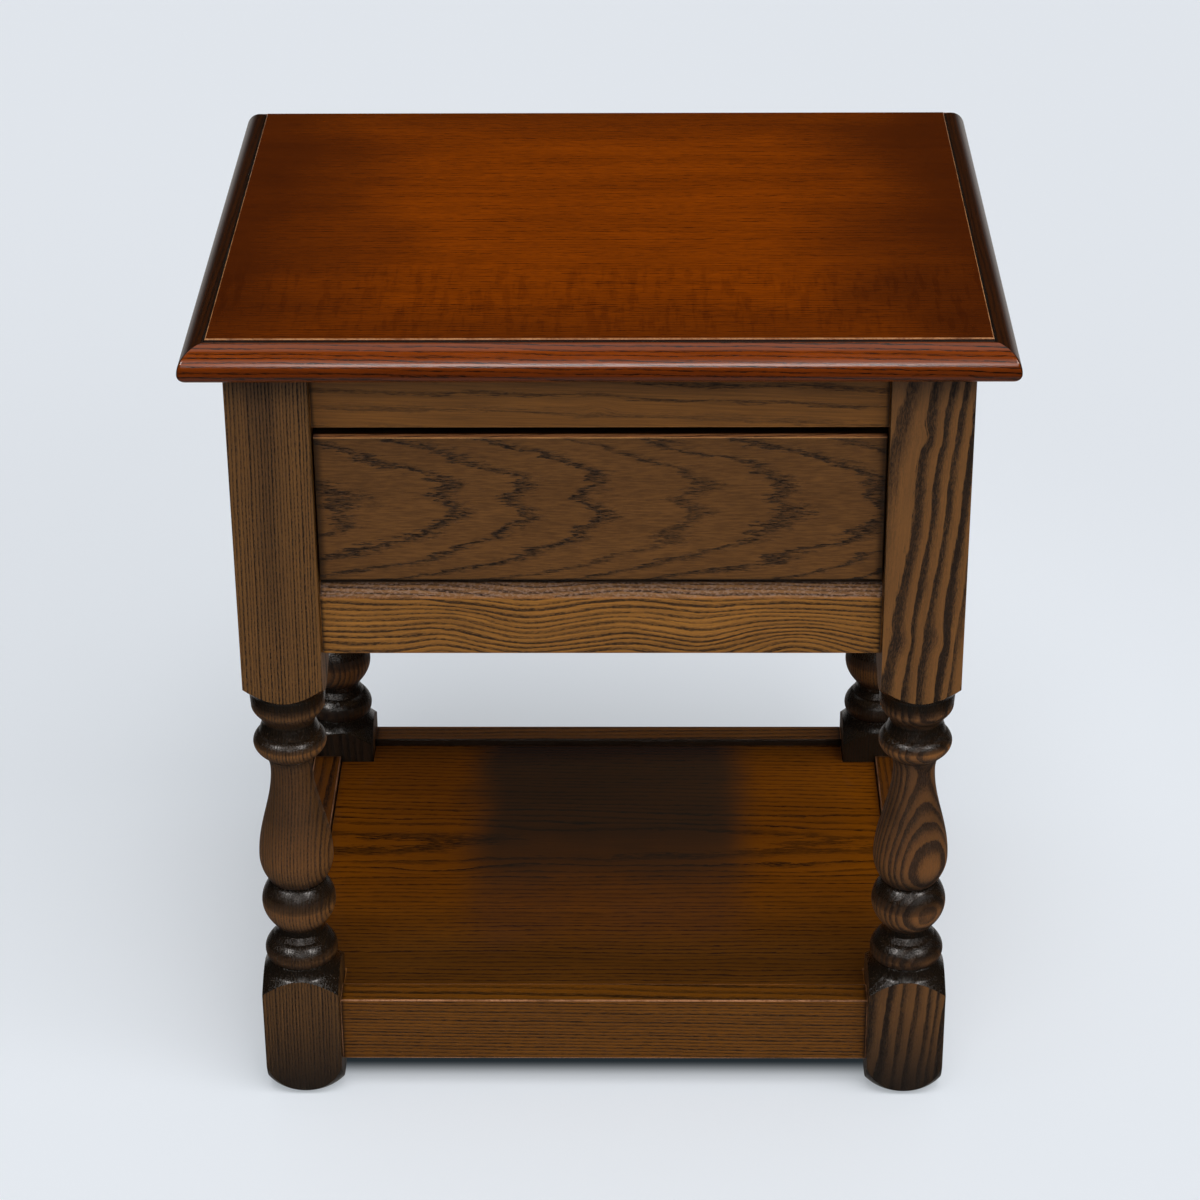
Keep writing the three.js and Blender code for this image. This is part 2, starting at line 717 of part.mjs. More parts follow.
// Shelf, notched round the legs, on a cleat at each end
const shelfX = stretcherBackX - fitGap;
const shelfY = stretcherBackY - fitGap;
const notchX = legInnerX - fitGap;
const notchY = legInnerY - fitGap;
place('shelf_board', prism([
  [-notchX, -shelfY], [notchX, -shelfY], [notchX, -notchY], [shelfX, -notchY],
  [shelfX, notchY], [notchX, notchY], [notchX, shelfY], [-notchX, shelfY],
  [-notchX, notchY], [-shelfX, notchY], [-shelfX, -notchY], [-notchX, -notchY],
], 'z', shelfUnder, shelfTop), 'shelf');
const cleat = block(
  [stretcherBackX - cleatSize, -legInnerY, shelfUnder - cleatSize],
  [stretcherBackX, legInnerY, shelfUnder],
);
place('shelf_cleat_left', cut(mirroredX(cleat), ...cleatHoles), 'inside');
place('shelf_cleat_right', cut(cleat, ...cleatHoles), 'inside');
placeScrews(cleatScrews, cleatScrewLength);

export default table;
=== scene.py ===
"""Lamp table in dark oak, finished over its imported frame.

Every piece of wood is made again here with eased arrises, finer turning and its own
grain, and the screws get slotted heads. Lengths are metres unless a name says otherwise.
"""

import json
import math
from dataclasses import dataclass

import bmesh
import bpy
from bpy.props import FloatProperty, FloatVectorProperty, IntProperty, PointerProperty
from mathutils import Euler, Matrix, Vector

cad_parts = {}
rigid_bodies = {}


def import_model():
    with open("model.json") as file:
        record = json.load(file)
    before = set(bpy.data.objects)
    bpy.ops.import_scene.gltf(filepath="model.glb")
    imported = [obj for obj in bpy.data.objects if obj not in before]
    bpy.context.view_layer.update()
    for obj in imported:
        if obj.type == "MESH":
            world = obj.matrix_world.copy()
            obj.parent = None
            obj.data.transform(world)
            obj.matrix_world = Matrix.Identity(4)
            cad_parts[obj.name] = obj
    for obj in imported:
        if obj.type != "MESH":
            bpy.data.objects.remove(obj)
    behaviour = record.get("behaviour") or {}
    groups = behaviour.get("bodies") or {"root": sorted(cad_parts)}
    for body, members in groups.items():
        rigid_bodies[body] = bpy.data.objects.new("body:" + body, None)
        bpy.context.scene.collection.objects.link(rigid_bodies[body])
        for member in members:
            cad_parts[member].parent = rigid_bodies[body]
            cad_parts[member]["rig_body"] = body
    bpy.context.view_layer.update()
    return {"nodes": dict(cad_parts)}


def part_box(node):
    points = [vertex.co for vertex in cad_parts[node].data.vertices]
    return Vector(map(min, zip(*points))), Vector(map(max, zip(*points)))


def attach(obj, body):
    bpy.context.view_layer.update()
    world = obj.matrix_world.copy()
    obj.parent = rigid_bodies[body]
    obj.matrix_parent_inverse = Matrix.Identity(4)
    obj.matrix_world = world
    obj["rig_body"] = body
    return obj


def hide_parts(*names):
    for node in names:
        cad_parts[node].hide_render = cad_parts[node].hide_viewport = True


bl_info = {
    "name": "Lamp table",
    "version": (1, 0, 0),
    "blender": (4, 5, 0),
    "location": "3D View > Sidebar > Lamp table",
    "description": "Builds the finished lamp table over its frame",
    "category": "Object",
}

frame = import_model()

MM = 0.001
TO_MM = 1000.0
SIDES = (("left", -1), ("right", 1))
ENDS = ("front", "back")
CARCASE_STRIPS = (
    "drawer_runner", "drawer_guide", "drawer_kicker", "drawer_stop", "shelf_cleat",
)


def display_colour(red, green, blue):
    """A colour as a screen shows it, 0 to 255, turned into linear light."""
    linear = []
    for value in (red, green, blue):
        share = value / 255
        if share <= 0.04045:
            linear.append(share / 12.92)
        else:
            linear.append(((share + 0.055) / 1.055) ** 2.4)
    return tuple(linear)


# The camera, from the fit of the photograph
CAMERA_PLACE = (0.025714, -2.045546, 1.382302)
CAMERA_LENS_MM = 101.582
CAMERA_SENSOR_MM = 36.0
CAMERA_CLIP_END = 200.0
CAMERA_PITCH = math.radians(28.334)
CAMERA_YAW = math.radians(-0.808)
CAMERA_ROLL = math.radians(-0.405)

# Sizes of the leg in millimetres, as its lathe and saw leave it
LEG_STOCK = 50.8
FOOT_ROUNDING = 37.0
FOOT_RADIUS = 16.5
LOWER_BLOCK = 91.6
SHOULDER_SPREAD = 10.5
CORNER_SLACK = 1.5
RING_STEP = 0.8
FOOT_STEP = 1.0
FLAT_STEP = 300.0

# How near two vertices are one, on pieces made here and on the CAD's, and how near a
# vertex is to a cut that goes through it
WELD = 1e-6
CAD_WELD = 1e-5
CUT_TOLERANCE = 1e-7

# How steep and long an edge is that a plane would ease, how flat one is that the CAD left
# inside a face, and the segments of the rounding
EASED_ANGLE = math.radians(25)
EASED_LENGTH = 0.008
FLAT_ANGLE = math.radians(1)
EASED_SEGMENTS = 3

# The upright arrises of a leg's two blocks: how many, how long and steep at least, the
# segments of their rounding, and how worn those of the lower block are
LEG_ARRISES = 8
UPRIGHT_LENGTH = 0.02
UPRIGHT_ANGLE = 1.0
UPRIGHT_SEGMENTS = 4
LOWER_BLOCK_WEAR = 0.15

# The angles in degrees from which an edge is shaded sharp
SHARP_BOARD = 38.0
SHARP_MOULDING = 34.0
SHARP_TURNED = 30.0


def straight(t):
    return t


def swell(t):
    return 1 - (1 - t) ** 2


def fall(t):
    return t**2


def cove(t):
    return 1 - (1 - t) ** 1.6


def flare(t):
    return t**1.8


def wave(t):
    return (1 - math.cos(math.pi * t)) / 2


# The turning from the lower block up. Each ring has its rise and end radius in
# millimetres, the law of its radius, and how dark the glaze is at its start, middle
# and end. Below zero the wood is lighter: rubbed on the widest parts, and painted
# light from the pale floor below on the undersides.
RINGS = (
    ("shoulder", 7.6, 22.6, cove, (1.0, 1.0, 1.0)),
    ("low_bead_under", 5.8, 24.1, swell, (0.9, 0.2, -0.2)),
    ("low_bead_over", 10.3, 18.6, fall, (-0.1, 0.95, 0.95)),
    ("low_bead_cap", 5.3, 15.6, straight, (0.9, 0.95, 1.0)),
    ("fillet", 3.6, 15.6, straight, (1.0, 1.0, 0.9)),
    ("middle_bead_under", 18.5, 24.4, swell, (0.7, -0.9, -0.9)),
    ("middle_bead_over", 16.4, 17.8, fall, (-0.5, 0.85, 1.0)),
    ("vase_foot", 18.8, 24.4, swell, (0.6, -0.45, -0.7)),
    ("vase_rise", 66.0, 13.6, wave, (-0.75, -0.05, -0.2)),
    ("neck", 10.5, 15.9, fall, (-0.25, -0.2, 0.2)),
    ("high_bead_under", 10.9, 23.7, swell, (0.3, -0.3, -0.9)),
    ("high_bead_over", 7.3, 19.8, fall, (-0.5, 0.9, 0.9)),
    ("high_bead_cap", 7.7, 17.1, straight, (0.85, 1.0, 1.0)),
    ("reel", 12.3, 23.7, wave, (0.9, 0.3, -0.4)),
    ("reel_cap", 10.7, 24.5, straight, (-0.4, 0.85, 1.0)),
    ("upper_shoulder", 1.9, 25.4, flare, (1.0, 1.0, 1.0)),
)

# Fine grooves that the turner cut above these rings, with depth and half width in mm
GROOVES = (
    ("shoulder", 0.9, 0.8),
    ("low_bead_over", 0.55, 0.6),
    ("middle_bead_over", 1.1, 0.9),
    ("neck", 0.8, 0.7),
    ("high_bead_over", 0.55, 0.6),
)

# The edge moulding's section in millimetres
TOP_QUIRK = 1.8
MOULDING_FLAT = 1.0
MOULDING_DROP = 15.4
MOULDING_UNDER_ROUND = 6.2
MOULDING_CORNER_ROUND = 1.8
MOULDING_STEPS = 16
MOULDING_CORNER_STEPS = 6
# How dark the painted shade under the moulding is, and how far in millimetres the painted shade
# of its quirk fades
MOULDING_UNDER_SHADE = 0.25
QUIRK_SHADE_FADE = 0.6
MITRE_GAP = 0.15

# How far each length of moulding is turned from the back one, in degrees
MOULDING_SPINS = {"front": 180, "back": 0, "left": 90, "right": -90}

# How far the field of the top and the drawer front are eased, as shares of a rail's arris
FIELD_ARRIS_SHARE = 0.8
FRONT_ARRIS_SHARE = 0.6

# What the lacquer mirrors: soft boxes with their azimuths and elevations in degrees, the
# softness of their edges and their strength
SOFT_BOXES = (
    (-52.0, -37.0, 33.0, 45.0, 3.0, 20.0),
    (37.0, 50.0, 33.0, 45.0, 3.0, 20.0),
    (-37.0, 37.0, 33.0, 45.0, 6.0, 0.7),
    (-9.0, 9.0, 21.0, 30.0, 3.0, 5.0),
    (105.0, 180.0, 41.0, 83.0, 4.0, 0.5),
    (-180.0, -105.0, 41.0, 83.0, 4.0, 0.5),
    (150.0, 180.0, -60.0, -12.0, 20.0, 0.38),
    (-180.0, -150.0, -60.0, -12.0, 20.0, 0.32),
    (-75.0, 75.0, -90.0, -44.0, 4.0, 0.15),
)

# The floor: its radius, how far its painted shadow is drawn in from the lower frame, where
# its glow fades, painting it brighter near the table, and the colour of its glow in the painted
# shadow
FLOOR_RADIUS = 30.0
SHADOW_INSET = (32 * MM, 14 * MM)
GLOW_FADE = (0.35, 1.0, 1.11, 0.89)
SHADOW_COLOUR = display_colour(36, 43, 47)

# Tints of the light from all round and of what the lacquer mirrors
FILL_TINT = (0.97, 0.98, 1.0)
MIRROR_TINT = (1.0, 0.96, 0.93)

# The two suns: azimuth, elevation and breadth in degrees, and share of the key's strength
SUNS = (
    ("key", 42.0, 46.0, 60.0, 1.0),
    ("overhead", -4.0, 66.0, 30.0, 0.55),
)

# The screws in millimetres
SCREW_RIM = 0.6
SCREW_CONE = 2.8
SCREW_HEAD_RADIUS = 4.0
SCREW_SHANK_RADIUS = 2.0
SCREW_TIP = 4.0
SCREW_SLOT_HALF = 0.5
SCREW_SLOT_REACH = 3.2
SCREW_SLOT_DEPTH = 1.0
SCREW_PLAIN_SHARE = 0.3
SCREW_FACETS = 16
THREAD_PITCH = 1.6
THREAD_DEPTH = 0.35

# How deep the grain is cut into the lacquered face, in metres
GRAIN_DEPTH = 0.0004


class LampTableSizes(bpy.types.PropertyGroup):
    """Sizes of the finish."""

    leg_arris: FloatProperty(
        name="Leg arris",
        description="How far the upright arrises of the legs are rounded over",
        default=0.0012,
        min=0.0002,
        max=0.004,
        unit="LENGTH",
        subtype="DISTANCE",
    )
    rail_arris: FloatProperty(
        name="Rail arris",
        description="How far the long arrises of rails, stretchers and boards are eased",
        default=0.0009,
        min=0.0002,
        max=0.004,
        unit="LENGTH",
        subtype="DISTANCE",
    )
    inner_arris: FloatProperty(
        name="Inner arris",
        description="How far the arrises of the wood inside the case are eased",
        default=0.0005,
        min=0.0001,
        max=0.002,
        unit="LENGTH",
        subtype="DISTANCE",
    )
    lathe_facets: IntProperty(
        name="Lathe facets",
        description="Facets round each turned leg",
        default=96,
        min=24,
        max=160,
    )


class LampTableColours(bpy.types.PropertyGroup):
    """Colours of the finish."""

    # The glaze colour, which the tones also lay as painted shade
    glaze_and_shade: FloatVectorProperty(
        name="Glaze",
        description="Dark glaze left in the hollows and on the shoulders",
        default=display_colour(20, 15, 10),
        subtype="COLOR",
        min=0.0,
        max=1.0,
    )
    steel: FloatVectorProperty(
        name="Steel",
        description="The screws",
        default=display_colour(150, 147, 140),
        subtype="COLOR",
        min=0.0,
        max=1.0,
    )


class LampTableStudio(bpy.types.PropertyGroup):
    """The floor and the lights."""

    backdrop: FloatVectorProperty(
        name="Backdrop",
        description="What the camera sees beyond the floor",
        default=display_colour(224, 229, 235),
        subtype="COLOR",
        min=0.0,
        max=1.0,
    )
    floor: FloatVectorProperty(
        name="Floor",
        description="The pale floor",
        default=(0.585, 0.605, 0.64),
        subtype="COLOR",
        min=0.0,
        max=1.0,
    )
    floor_glow: FloatVectorProperty(
        name="Floor glow",
        description="Light of the floor itself, which keeps its shadows pale",
        default=(0.265, 0.285, 0.302),
        subtype="COLOR",
        min=0.0,
        max=1.0,
    )
    fill: FloatProperty(
        name="Fill",
        description="Strength of the soft light from all round",
        default=0.36,
        min=0.0,
        max=4.0,
    )
    sheen_light: FloatProperty(
        name="Room in reflections",
        description="How bright the room is where the lacquer mirrors it",
        default=0.008,
        min=0.0,
        max=4.0,
    )
    reflections: FloatProperty(
        name="Reflections",
        description="How strongly the lacquer mirrors the soft boxes",
        default=1.0,
        min=0.0,
        max=4.0,
    )
    key: FloatProperty(
        name="Key light",
        description="Strength of the large soft light from the front right",
        default=1.35,
        min=0.0,
        max=10.0,
    )


def sizes():
    return bpy.context.scene.lamp_table_sizes


def colours():
    return bpy.context.scene.lamp_table_colours


def studio():
    return bpy.context.scene.lamp_table_studio


class Wiring:
    """Adds nodes to one node tree and joins them up."""

    def __init__(self, tree):
        self.tree = tree

    def feed(self, socket, value):
        if value is None:
            return
        if isinstance(value, bpy.types.NodeSocket):
            self.tree.links.new(value, socket)
        elif socket.type == "RGBA" and len(value) == 3:
            socket.default_value = (*value, 1.0)
        else:
            socket.default_value = value

    def put(self, kind, settings=None, **values):
        made = self.tree.nodes.new(kind)
        for key, value in (settings or {}).items():
            setattr(made, key, value)
        for key, value in values.items():
            self.feed(made.inputs[key.replace("_", " ")], value)
        return made

    def math(self, operation, *values, clamp=False):
        made = self.put("ShaderNodeMath", {"operation": operation, "use_clamp": clamp})
        for socket, value in zip(made.inputs, values):
            self.feed(socket, value)
        return made.outputs[0]

    def product(self, *values):
        """The values multiplied one after the other."""
        result = values[0]
        for value in values[1:]:
            result = self.math("MULTIPLY", result, value)
        return result

    def vector(self, operation, *values):
        made = self.put("ShaderNodeVectorMath", {"operation": operation})
        for socket, value in zip(made.inputs, values):
            self.feed(socket, value)
        return made.outputs[1 if operation in ("LENGTH", "DOT_PRODUCT") else 0]

    def scale(self, vector, amount):
        made = self.put("ShaderNodeVectorMath", {"operation": "SCALE"}, Scale=amount)
        self.feed(made.inputs[0], vector)
        return made.outputs[0]

    def split(self, vector):
        return self.put("ShaderNodeSeparateXYZ", Vector=vector).outputs

    def ramp(self, value, low, high, to_low=0.0, to_high=1.0):
        made = self.put("ShaderNodeMapRange", {"interpolation_type": "SMOOTHSTEP"})
        for socket, given in zip(made.inputs, (value, low, high, to_low, to_high)):
            self.feed(socket, given)
        return made.outputs[0]

    def mix(self, share, first, second, blend="MIX"):
        made = self.put("ShaderNodeMix", {"data_type": "RGBA", "blend_type": blend})
        self.feed(made.inputs[0], share)
        self.feed(made.inputs[6], first)
        self.feed(made.inputs[7], second)
        return made.outputs[2]

    def noise(self, vector, detail=2.0, roughness=0.5, colour=False):
        values = {"Vector": vector, "Scale": 1.0, "Detail": detail, "Roughness": roughness}
        return self.put("ShaderNodeTexNoise", **values).outputs[1 if colour else 0]

    def attribute(self, name):
        return self.put("ShaderNodeAttribute", {"attribute_name": name}).outputs[2]

    def centred_noise(self, vector, detail=2.0, roughness=0.5):
        return self.math("SUBTRACT", self.noise(vector, detail, roughness), 0.5)

    def stretched(self, vector, across, along):
        """Coordinates for a pattern that is so many millimetres across and along."""
        return self.vector("MULTIPLY", vector, (1 / across, 1 / across, 1 / along))


def new_group(name, inputs, outputs):
    """A shader node group with its named sockets, and the wiring for its inside."""
    tree = bpy.data.node_groups.new(name, "ShaderNodeTree")
    for label, kind, default in inputs:
        socket = tree.interface.new_socket(name=label, in_out="INPUT", socket_type=kind)
        if default is not None:
            socket.default_value = default
    for label, kind in outputs:
        tree.interface.new_socket(name=label, in_out="OUTPUT", socket_type=kind)
    start = tree.nodes.new("NodeGroupInput")
    end = tree.nodes.new("NodeGroupOutput")
    return tree, start.outputs, end.inputs, Wiring(tree)


def grain_group():
    """Growth rings, pores and fibres of a ring-porous wood. The vector runs along the
    grain in z, with the pith on the axis, in metres. The other lengths are millimetres."""
    name = "Oak grain"
    if name in bpy.data.node_groups:
        return bpy.data.node_groups[name]
    number = "NodeSocketFloat"
    tree, given, out, w = new_group(
        name,
        (
            ("Vector", "NodeSocketVector", None),
            ("Ring", number, 3.5),
            ("Waver", number, 3.0),
            ("Ripple", number, 0.0),
            ("Jag", number, 0.2),
            ("Dark share", number, 0.5),
            ("Pore length", number, 3.0),
        ),
        (("Band", number), ("Pore", number), ("Fibre", number), ("Shade", number)),
    )
    place = w.scale(given["Vector"], TO_MM)

    # The trunk is never straight: the rings wander slowly along it, and they are fluted.
    drift = w.noise(w.stretched(place, 24.0, 95.0), colour=True)
    drift = w.scale(w.vector("SUBTRACT", drift, (0.5, 0.5, 0.5)), given["Waver"])
    flutes = w.noise(w.stretched(place, 13.0, 170.0), detail=1.5, colour=True)
    flutes = w.scale(w.vector("SUBTRACT", flutes, (0.5, 0.5, 0.5)), given["Ripple"])
    bent = w.vector("ADD", w.vector("ADD", place, drift), flutes)
    reach = w.vector("LENGTH", w.vector("MULTIPLY", bent, (1.0, 1.0, 0.0)))

    # Good and bad years, then the ragged edge of each ring.
    years = w.put("ShaderNodeCombineXYZ", X=w.math("DIVIDE", reach, 9.0)).outputs[0]
    uneven = w.centred_noise(years, detail=1.0)
    count = w.math("DIVIDE", reach, given["Ring"])
    count = w.math("ADD", count, w.math("MULTIPLY", uneven, 1.3))
    ragged = w.centred_noise(w.stretched(place, 1.6, 14.0), detail=3.0, roughness=0.62)
    ragged = w.math("MULTIPLY", ragged, given["Jag"])
    count = w.math("ADD", count, ragged)
    part = w.math("FRACT", count)
    year = w.math("FLOOR", count)
    strength = w.put("ShaderNodeTexWhiteNoise", {"noise_dimensions": "1D"}, W=year)
    strength = w.ramp(strength.outputs[0], 0.0, 1.0, 0.6, 1.0)
    rise = w.ramp(part, 0.0, 0.09)
    share = given["Dark share"]
    ebb = w.ramp(part, w.math("MULTIPLY", share, 0.3), share, 1.0, 0.0)
    w.feed(out["Band"], w.product(rise, ebb, strength))

    # Pores run as short dashes along the grain, packed in the early wood.
    length = w.math("DIVIDE", 1.0, given["Pore length"])
    squeeze = w.put("ShaderNodeCombineXYZ", X=1 / 0.55, Y=1 / 0.55, Z=length)
    dashes = w.noise(w.vector("MULTIPLY", place, squeeze.outputs[0]), roughness=0.6)
    trail = w.ramp(part, 0.12, w.math("MULTIPLY", share, 1.5), 1.0, 0.12)
    trail = w.product(rise, trail, strength)
    pore = w.math("MULTIPLY", trail, w.ramp(dashes, 0.42, 0.56))
    pore = w.math("MAXIMUM", pore, w.math("MULTIPLY", w.ramp(dashes, 0.62, 0.74), 0.5))
    w.feed(out["Pore"], pore)
    fibre = w.noise(w.stretched(place, 0.9, 48.0), detail=3.0, roughness=0.6)
    w.feed(out["Fibre"], fibre)
    w.feed(out["Shade"], w.noise(w.stretched(place, 22.0, 130.0)))
    return tree


def wear_group():
    """Where the stain is rubbed thin along an arris, broken up as hands leave it."""
    name = "Rubbed arris"
    if name in bpy.data.node_groups:
        return bpy.data.node_groups[name]
    number = "NodeSocketFloat"
    tree, given, out, w = new_group(
        name,
        (
            ("Vector", "NodeSocketVector", None),
            ("Arris", number, 0.0),
            ("Amount", number, 0.7),
        ),
        (("Bare", number),),
    )
    place = w.scale(given["Vector"], TO_MM)
    patches = w.ramp(w.noise(w.stretched(place, 16.0, 16.0), detail=3.0), 0.30, 0.62, 0.35, 1.0)
    specks = w.ramp(w.noise(w.stretched(place, 1.4, 1.4)), 0.25, 0.60, 0.45, 1.0)
    w.feed(out["Bare"], w.product(patches, specks, given["Arris"], given["Amount"]))
    return tree


@dataclass
class Timber:
    """One finish of oak: its colours as a screen shows them, its rings and its lacquer."""

    light: tuple
    dark: tuple
    bare: tuple = (160, 104, 52)
    ring: float = 3.5
    waver: float = 3.0
    ripple: float = 0.0
    jag: float = 0.35
    dark_share: float = 0.5
    pore_length: float = 3.2
    solid: float = 0.55
    contrast: float = 0.9
    mottle: float = 0.35
    thread: float = 0.22
    gloss: float = 0.42
    glazed_gloss: float = 0.16
    specular: float = 0.22
    rubbed: float = 0.6
    relief: float = 0.5


TIMBERS = {
    "field": Timber(
        (152, 68, 1), (52, 16, 1), bare=(190, 134, 86), ring=2.1, waver=4.0,
        ripple=1.0, jag=0.8, contrast=0.75, dark_share=0.6, solid=0.2, pore_length=9.0,
        gloss=0.1, mottle=0.5, rubbed=0.95, relief=0.012,
    ),
    "moulding": Timber(
        (139, 60, 4), (34, 15, 4), ring=3.0, waver=5.0, jag=0.7, contrast=0.95, pore_length=7.0,
        gloss=0.13, specular=0.8, rubbed=0.35, relief=0.05,
    ),
    # The side mouldings: the moulding's oak darkened, as painted shade for the dark sides of the
    # top
    "shaded_side_moulding": Timber(
        (64, 31, 8), (22, 13, 6), ring=3.0, waver=5.0, jag=0.5, contrast=0.8, pore_length=7.0,
        gloss=0.13, specular=1.0, rubbed=0.35, relief=0.05,
    ),
    "straight_leg": Timber(
        (117, 76, 26), (26, 16, 7), ring=2.1, waver=2.0, jag=0.25, contrast=1.0,
        dark_share=0.56, solid=0.5, pore_length=2.2, rubbed=0.7, relief=0.8, gloss=0.6,
        specular=0.38,
    ),
    "bold_leg": Timber(
        (126, 81, 30), (35, 22, 10), ring=3.7, waver=4.0, ripple=1.0, jag=0.35, contrast=1.0,
        dark_share=0.72, solid=0.8, rubbed=0.5, relief=0.8, gloss=0.6, specular=0.38,
    ),
    "rail": Timber(
        (133, 84, 30), (50, 32, 15), ring=9.0, waver=9.0, ripple=2.0, jag=0.5, contrast=0.6,
        dark_share=0.35, pore_length=5.0, rubbed=0.45, thread=0.4,
    ),
    "low_rail": Timber(
        (163, 108, 41), (56, 35, 16), ring=3.2, waver=8.0, ripple=2.2, jag=0.5, contrast=0.95,
        dark_share=0.66, solid=0.7, rubbed=0.6, relief=0.7, thread=0.34,
    ),
    "drawer": Timber(
        (112, 72, 30), (29, 19, 10), bare=(196, 140, 82), ring=4.2, waver=2.5,
        ripple=4.4, jag=0.7, contrast=0.86, dark_share=0.3, pore_length=5.0, rubbed=0.95,
        thread=0.42,
    ),
    "panel": Timber(
        (104, 68, 34), (40, 26, 14), ring=4.0, waver=4.0, ripple=5.0, jag=0.7, contrast=0.85,
        dark_share=0.35, pore_length=5.0, rubbed=0.5,
    ),
    "stretcher": Timber(
        (116, 68, 8), (44, 25, 6), bare=(176, 124, 88), ring=2.4, waver=2.0,
        jag=0.3, contrast=0.95, dark_share=0.7, pore_length=6.0, rubbed=0.9, gloss=0.36,
    ),
    "shelf": Timber(
        (139, 77, 8), (54, 30, 7), ring=4.0, waver=6.0, ripple=3.0, jag=0.7, contrast=0.78,
        pore_length=8.0, gloss=0.12, mottle=0.5, relief=0.015,
    ),
    "lining": Timber(
        (196, 158, 112), (148, 108, 68), ring=3.4, waver=5.0, jag=0.5, contrast=0.6,
        gloss=0.6, rubbed=0.2, relief=0.4,
    ),
    "carcase": Timber(
        (186, 146, 100), (132, 94, 58), ring=4.4, waver=5.0, jag=0.5, contrast=0.6,
        gloss=0.65, rubbed=0.2, relief=0.5,
    ),
}

# What the colour is multiplied by in dark patches of the wood, and where it is rubbed light,
# which on the undersides of the turnings is painted light as well
MOTTLE = (0.62, 0.60, 0.60)
RUBBED_AND_PAINTED_LIGHT = (3.0, 2.9, 2.8)

# How the grain's own frame, with z along the grain, is turned into the table's frame
GRAIN_TURNS = {
    "x": Euler((0, math.radians(90), 0)).to_matrix(),
    "y": Euler((math.radians(-90), 0, 0)).to_matrix(),
    "z": Matrix.Identity(3),
}


def new_material(name):
    """A material with its Principled surface, and the wiring for its nodes."""
    material = bpy.data.materials.new(name)
    material.use_nodes = True
    tree = material.node_tree
    return material, tree.nodes["Principled BSDF"], Wiring(tree)


def deepened(w, share, colour, by):
    """A colour multiplied by another where a share says so."""
    return w.mix(share, colour, by, blend="MULTIPLY")


def glazed_and_shaded(w, share, colour):
    """A colour covered by the dark glaze colour where a share says so: real glaze on the
    turnings, and painted shade where the tones use it.
    """
    return w.mix(share, colour, tuple(colours().glaze_and_shade))


def swerved(w, place, knots):
    """The place that the grain is read at, pushed aside round each knot. A knot has its
    centre, its reach and its push in millimetres, in the table's frame."""
    for centre, reach, push in knots:
        away = w.vector("SUBTRACT", place, [value * MM for value in centre])
        away = w.vector("DIVIDE", away, [value * MM for value in reach])
        near = w.math("MULTIPLY", w.vector("DOT_PRODUCT", away, away), -1.0)
        near = w.math("EXPONENT", near)
        shift = w.put("ShaderNodeCombineXYZ", X=push[0] * MM, Y=push[1] * MM, Z=push[2] * MM)
        place = w.vector("ADD", place, w.scale(shift.outputs[0], near))
    return place


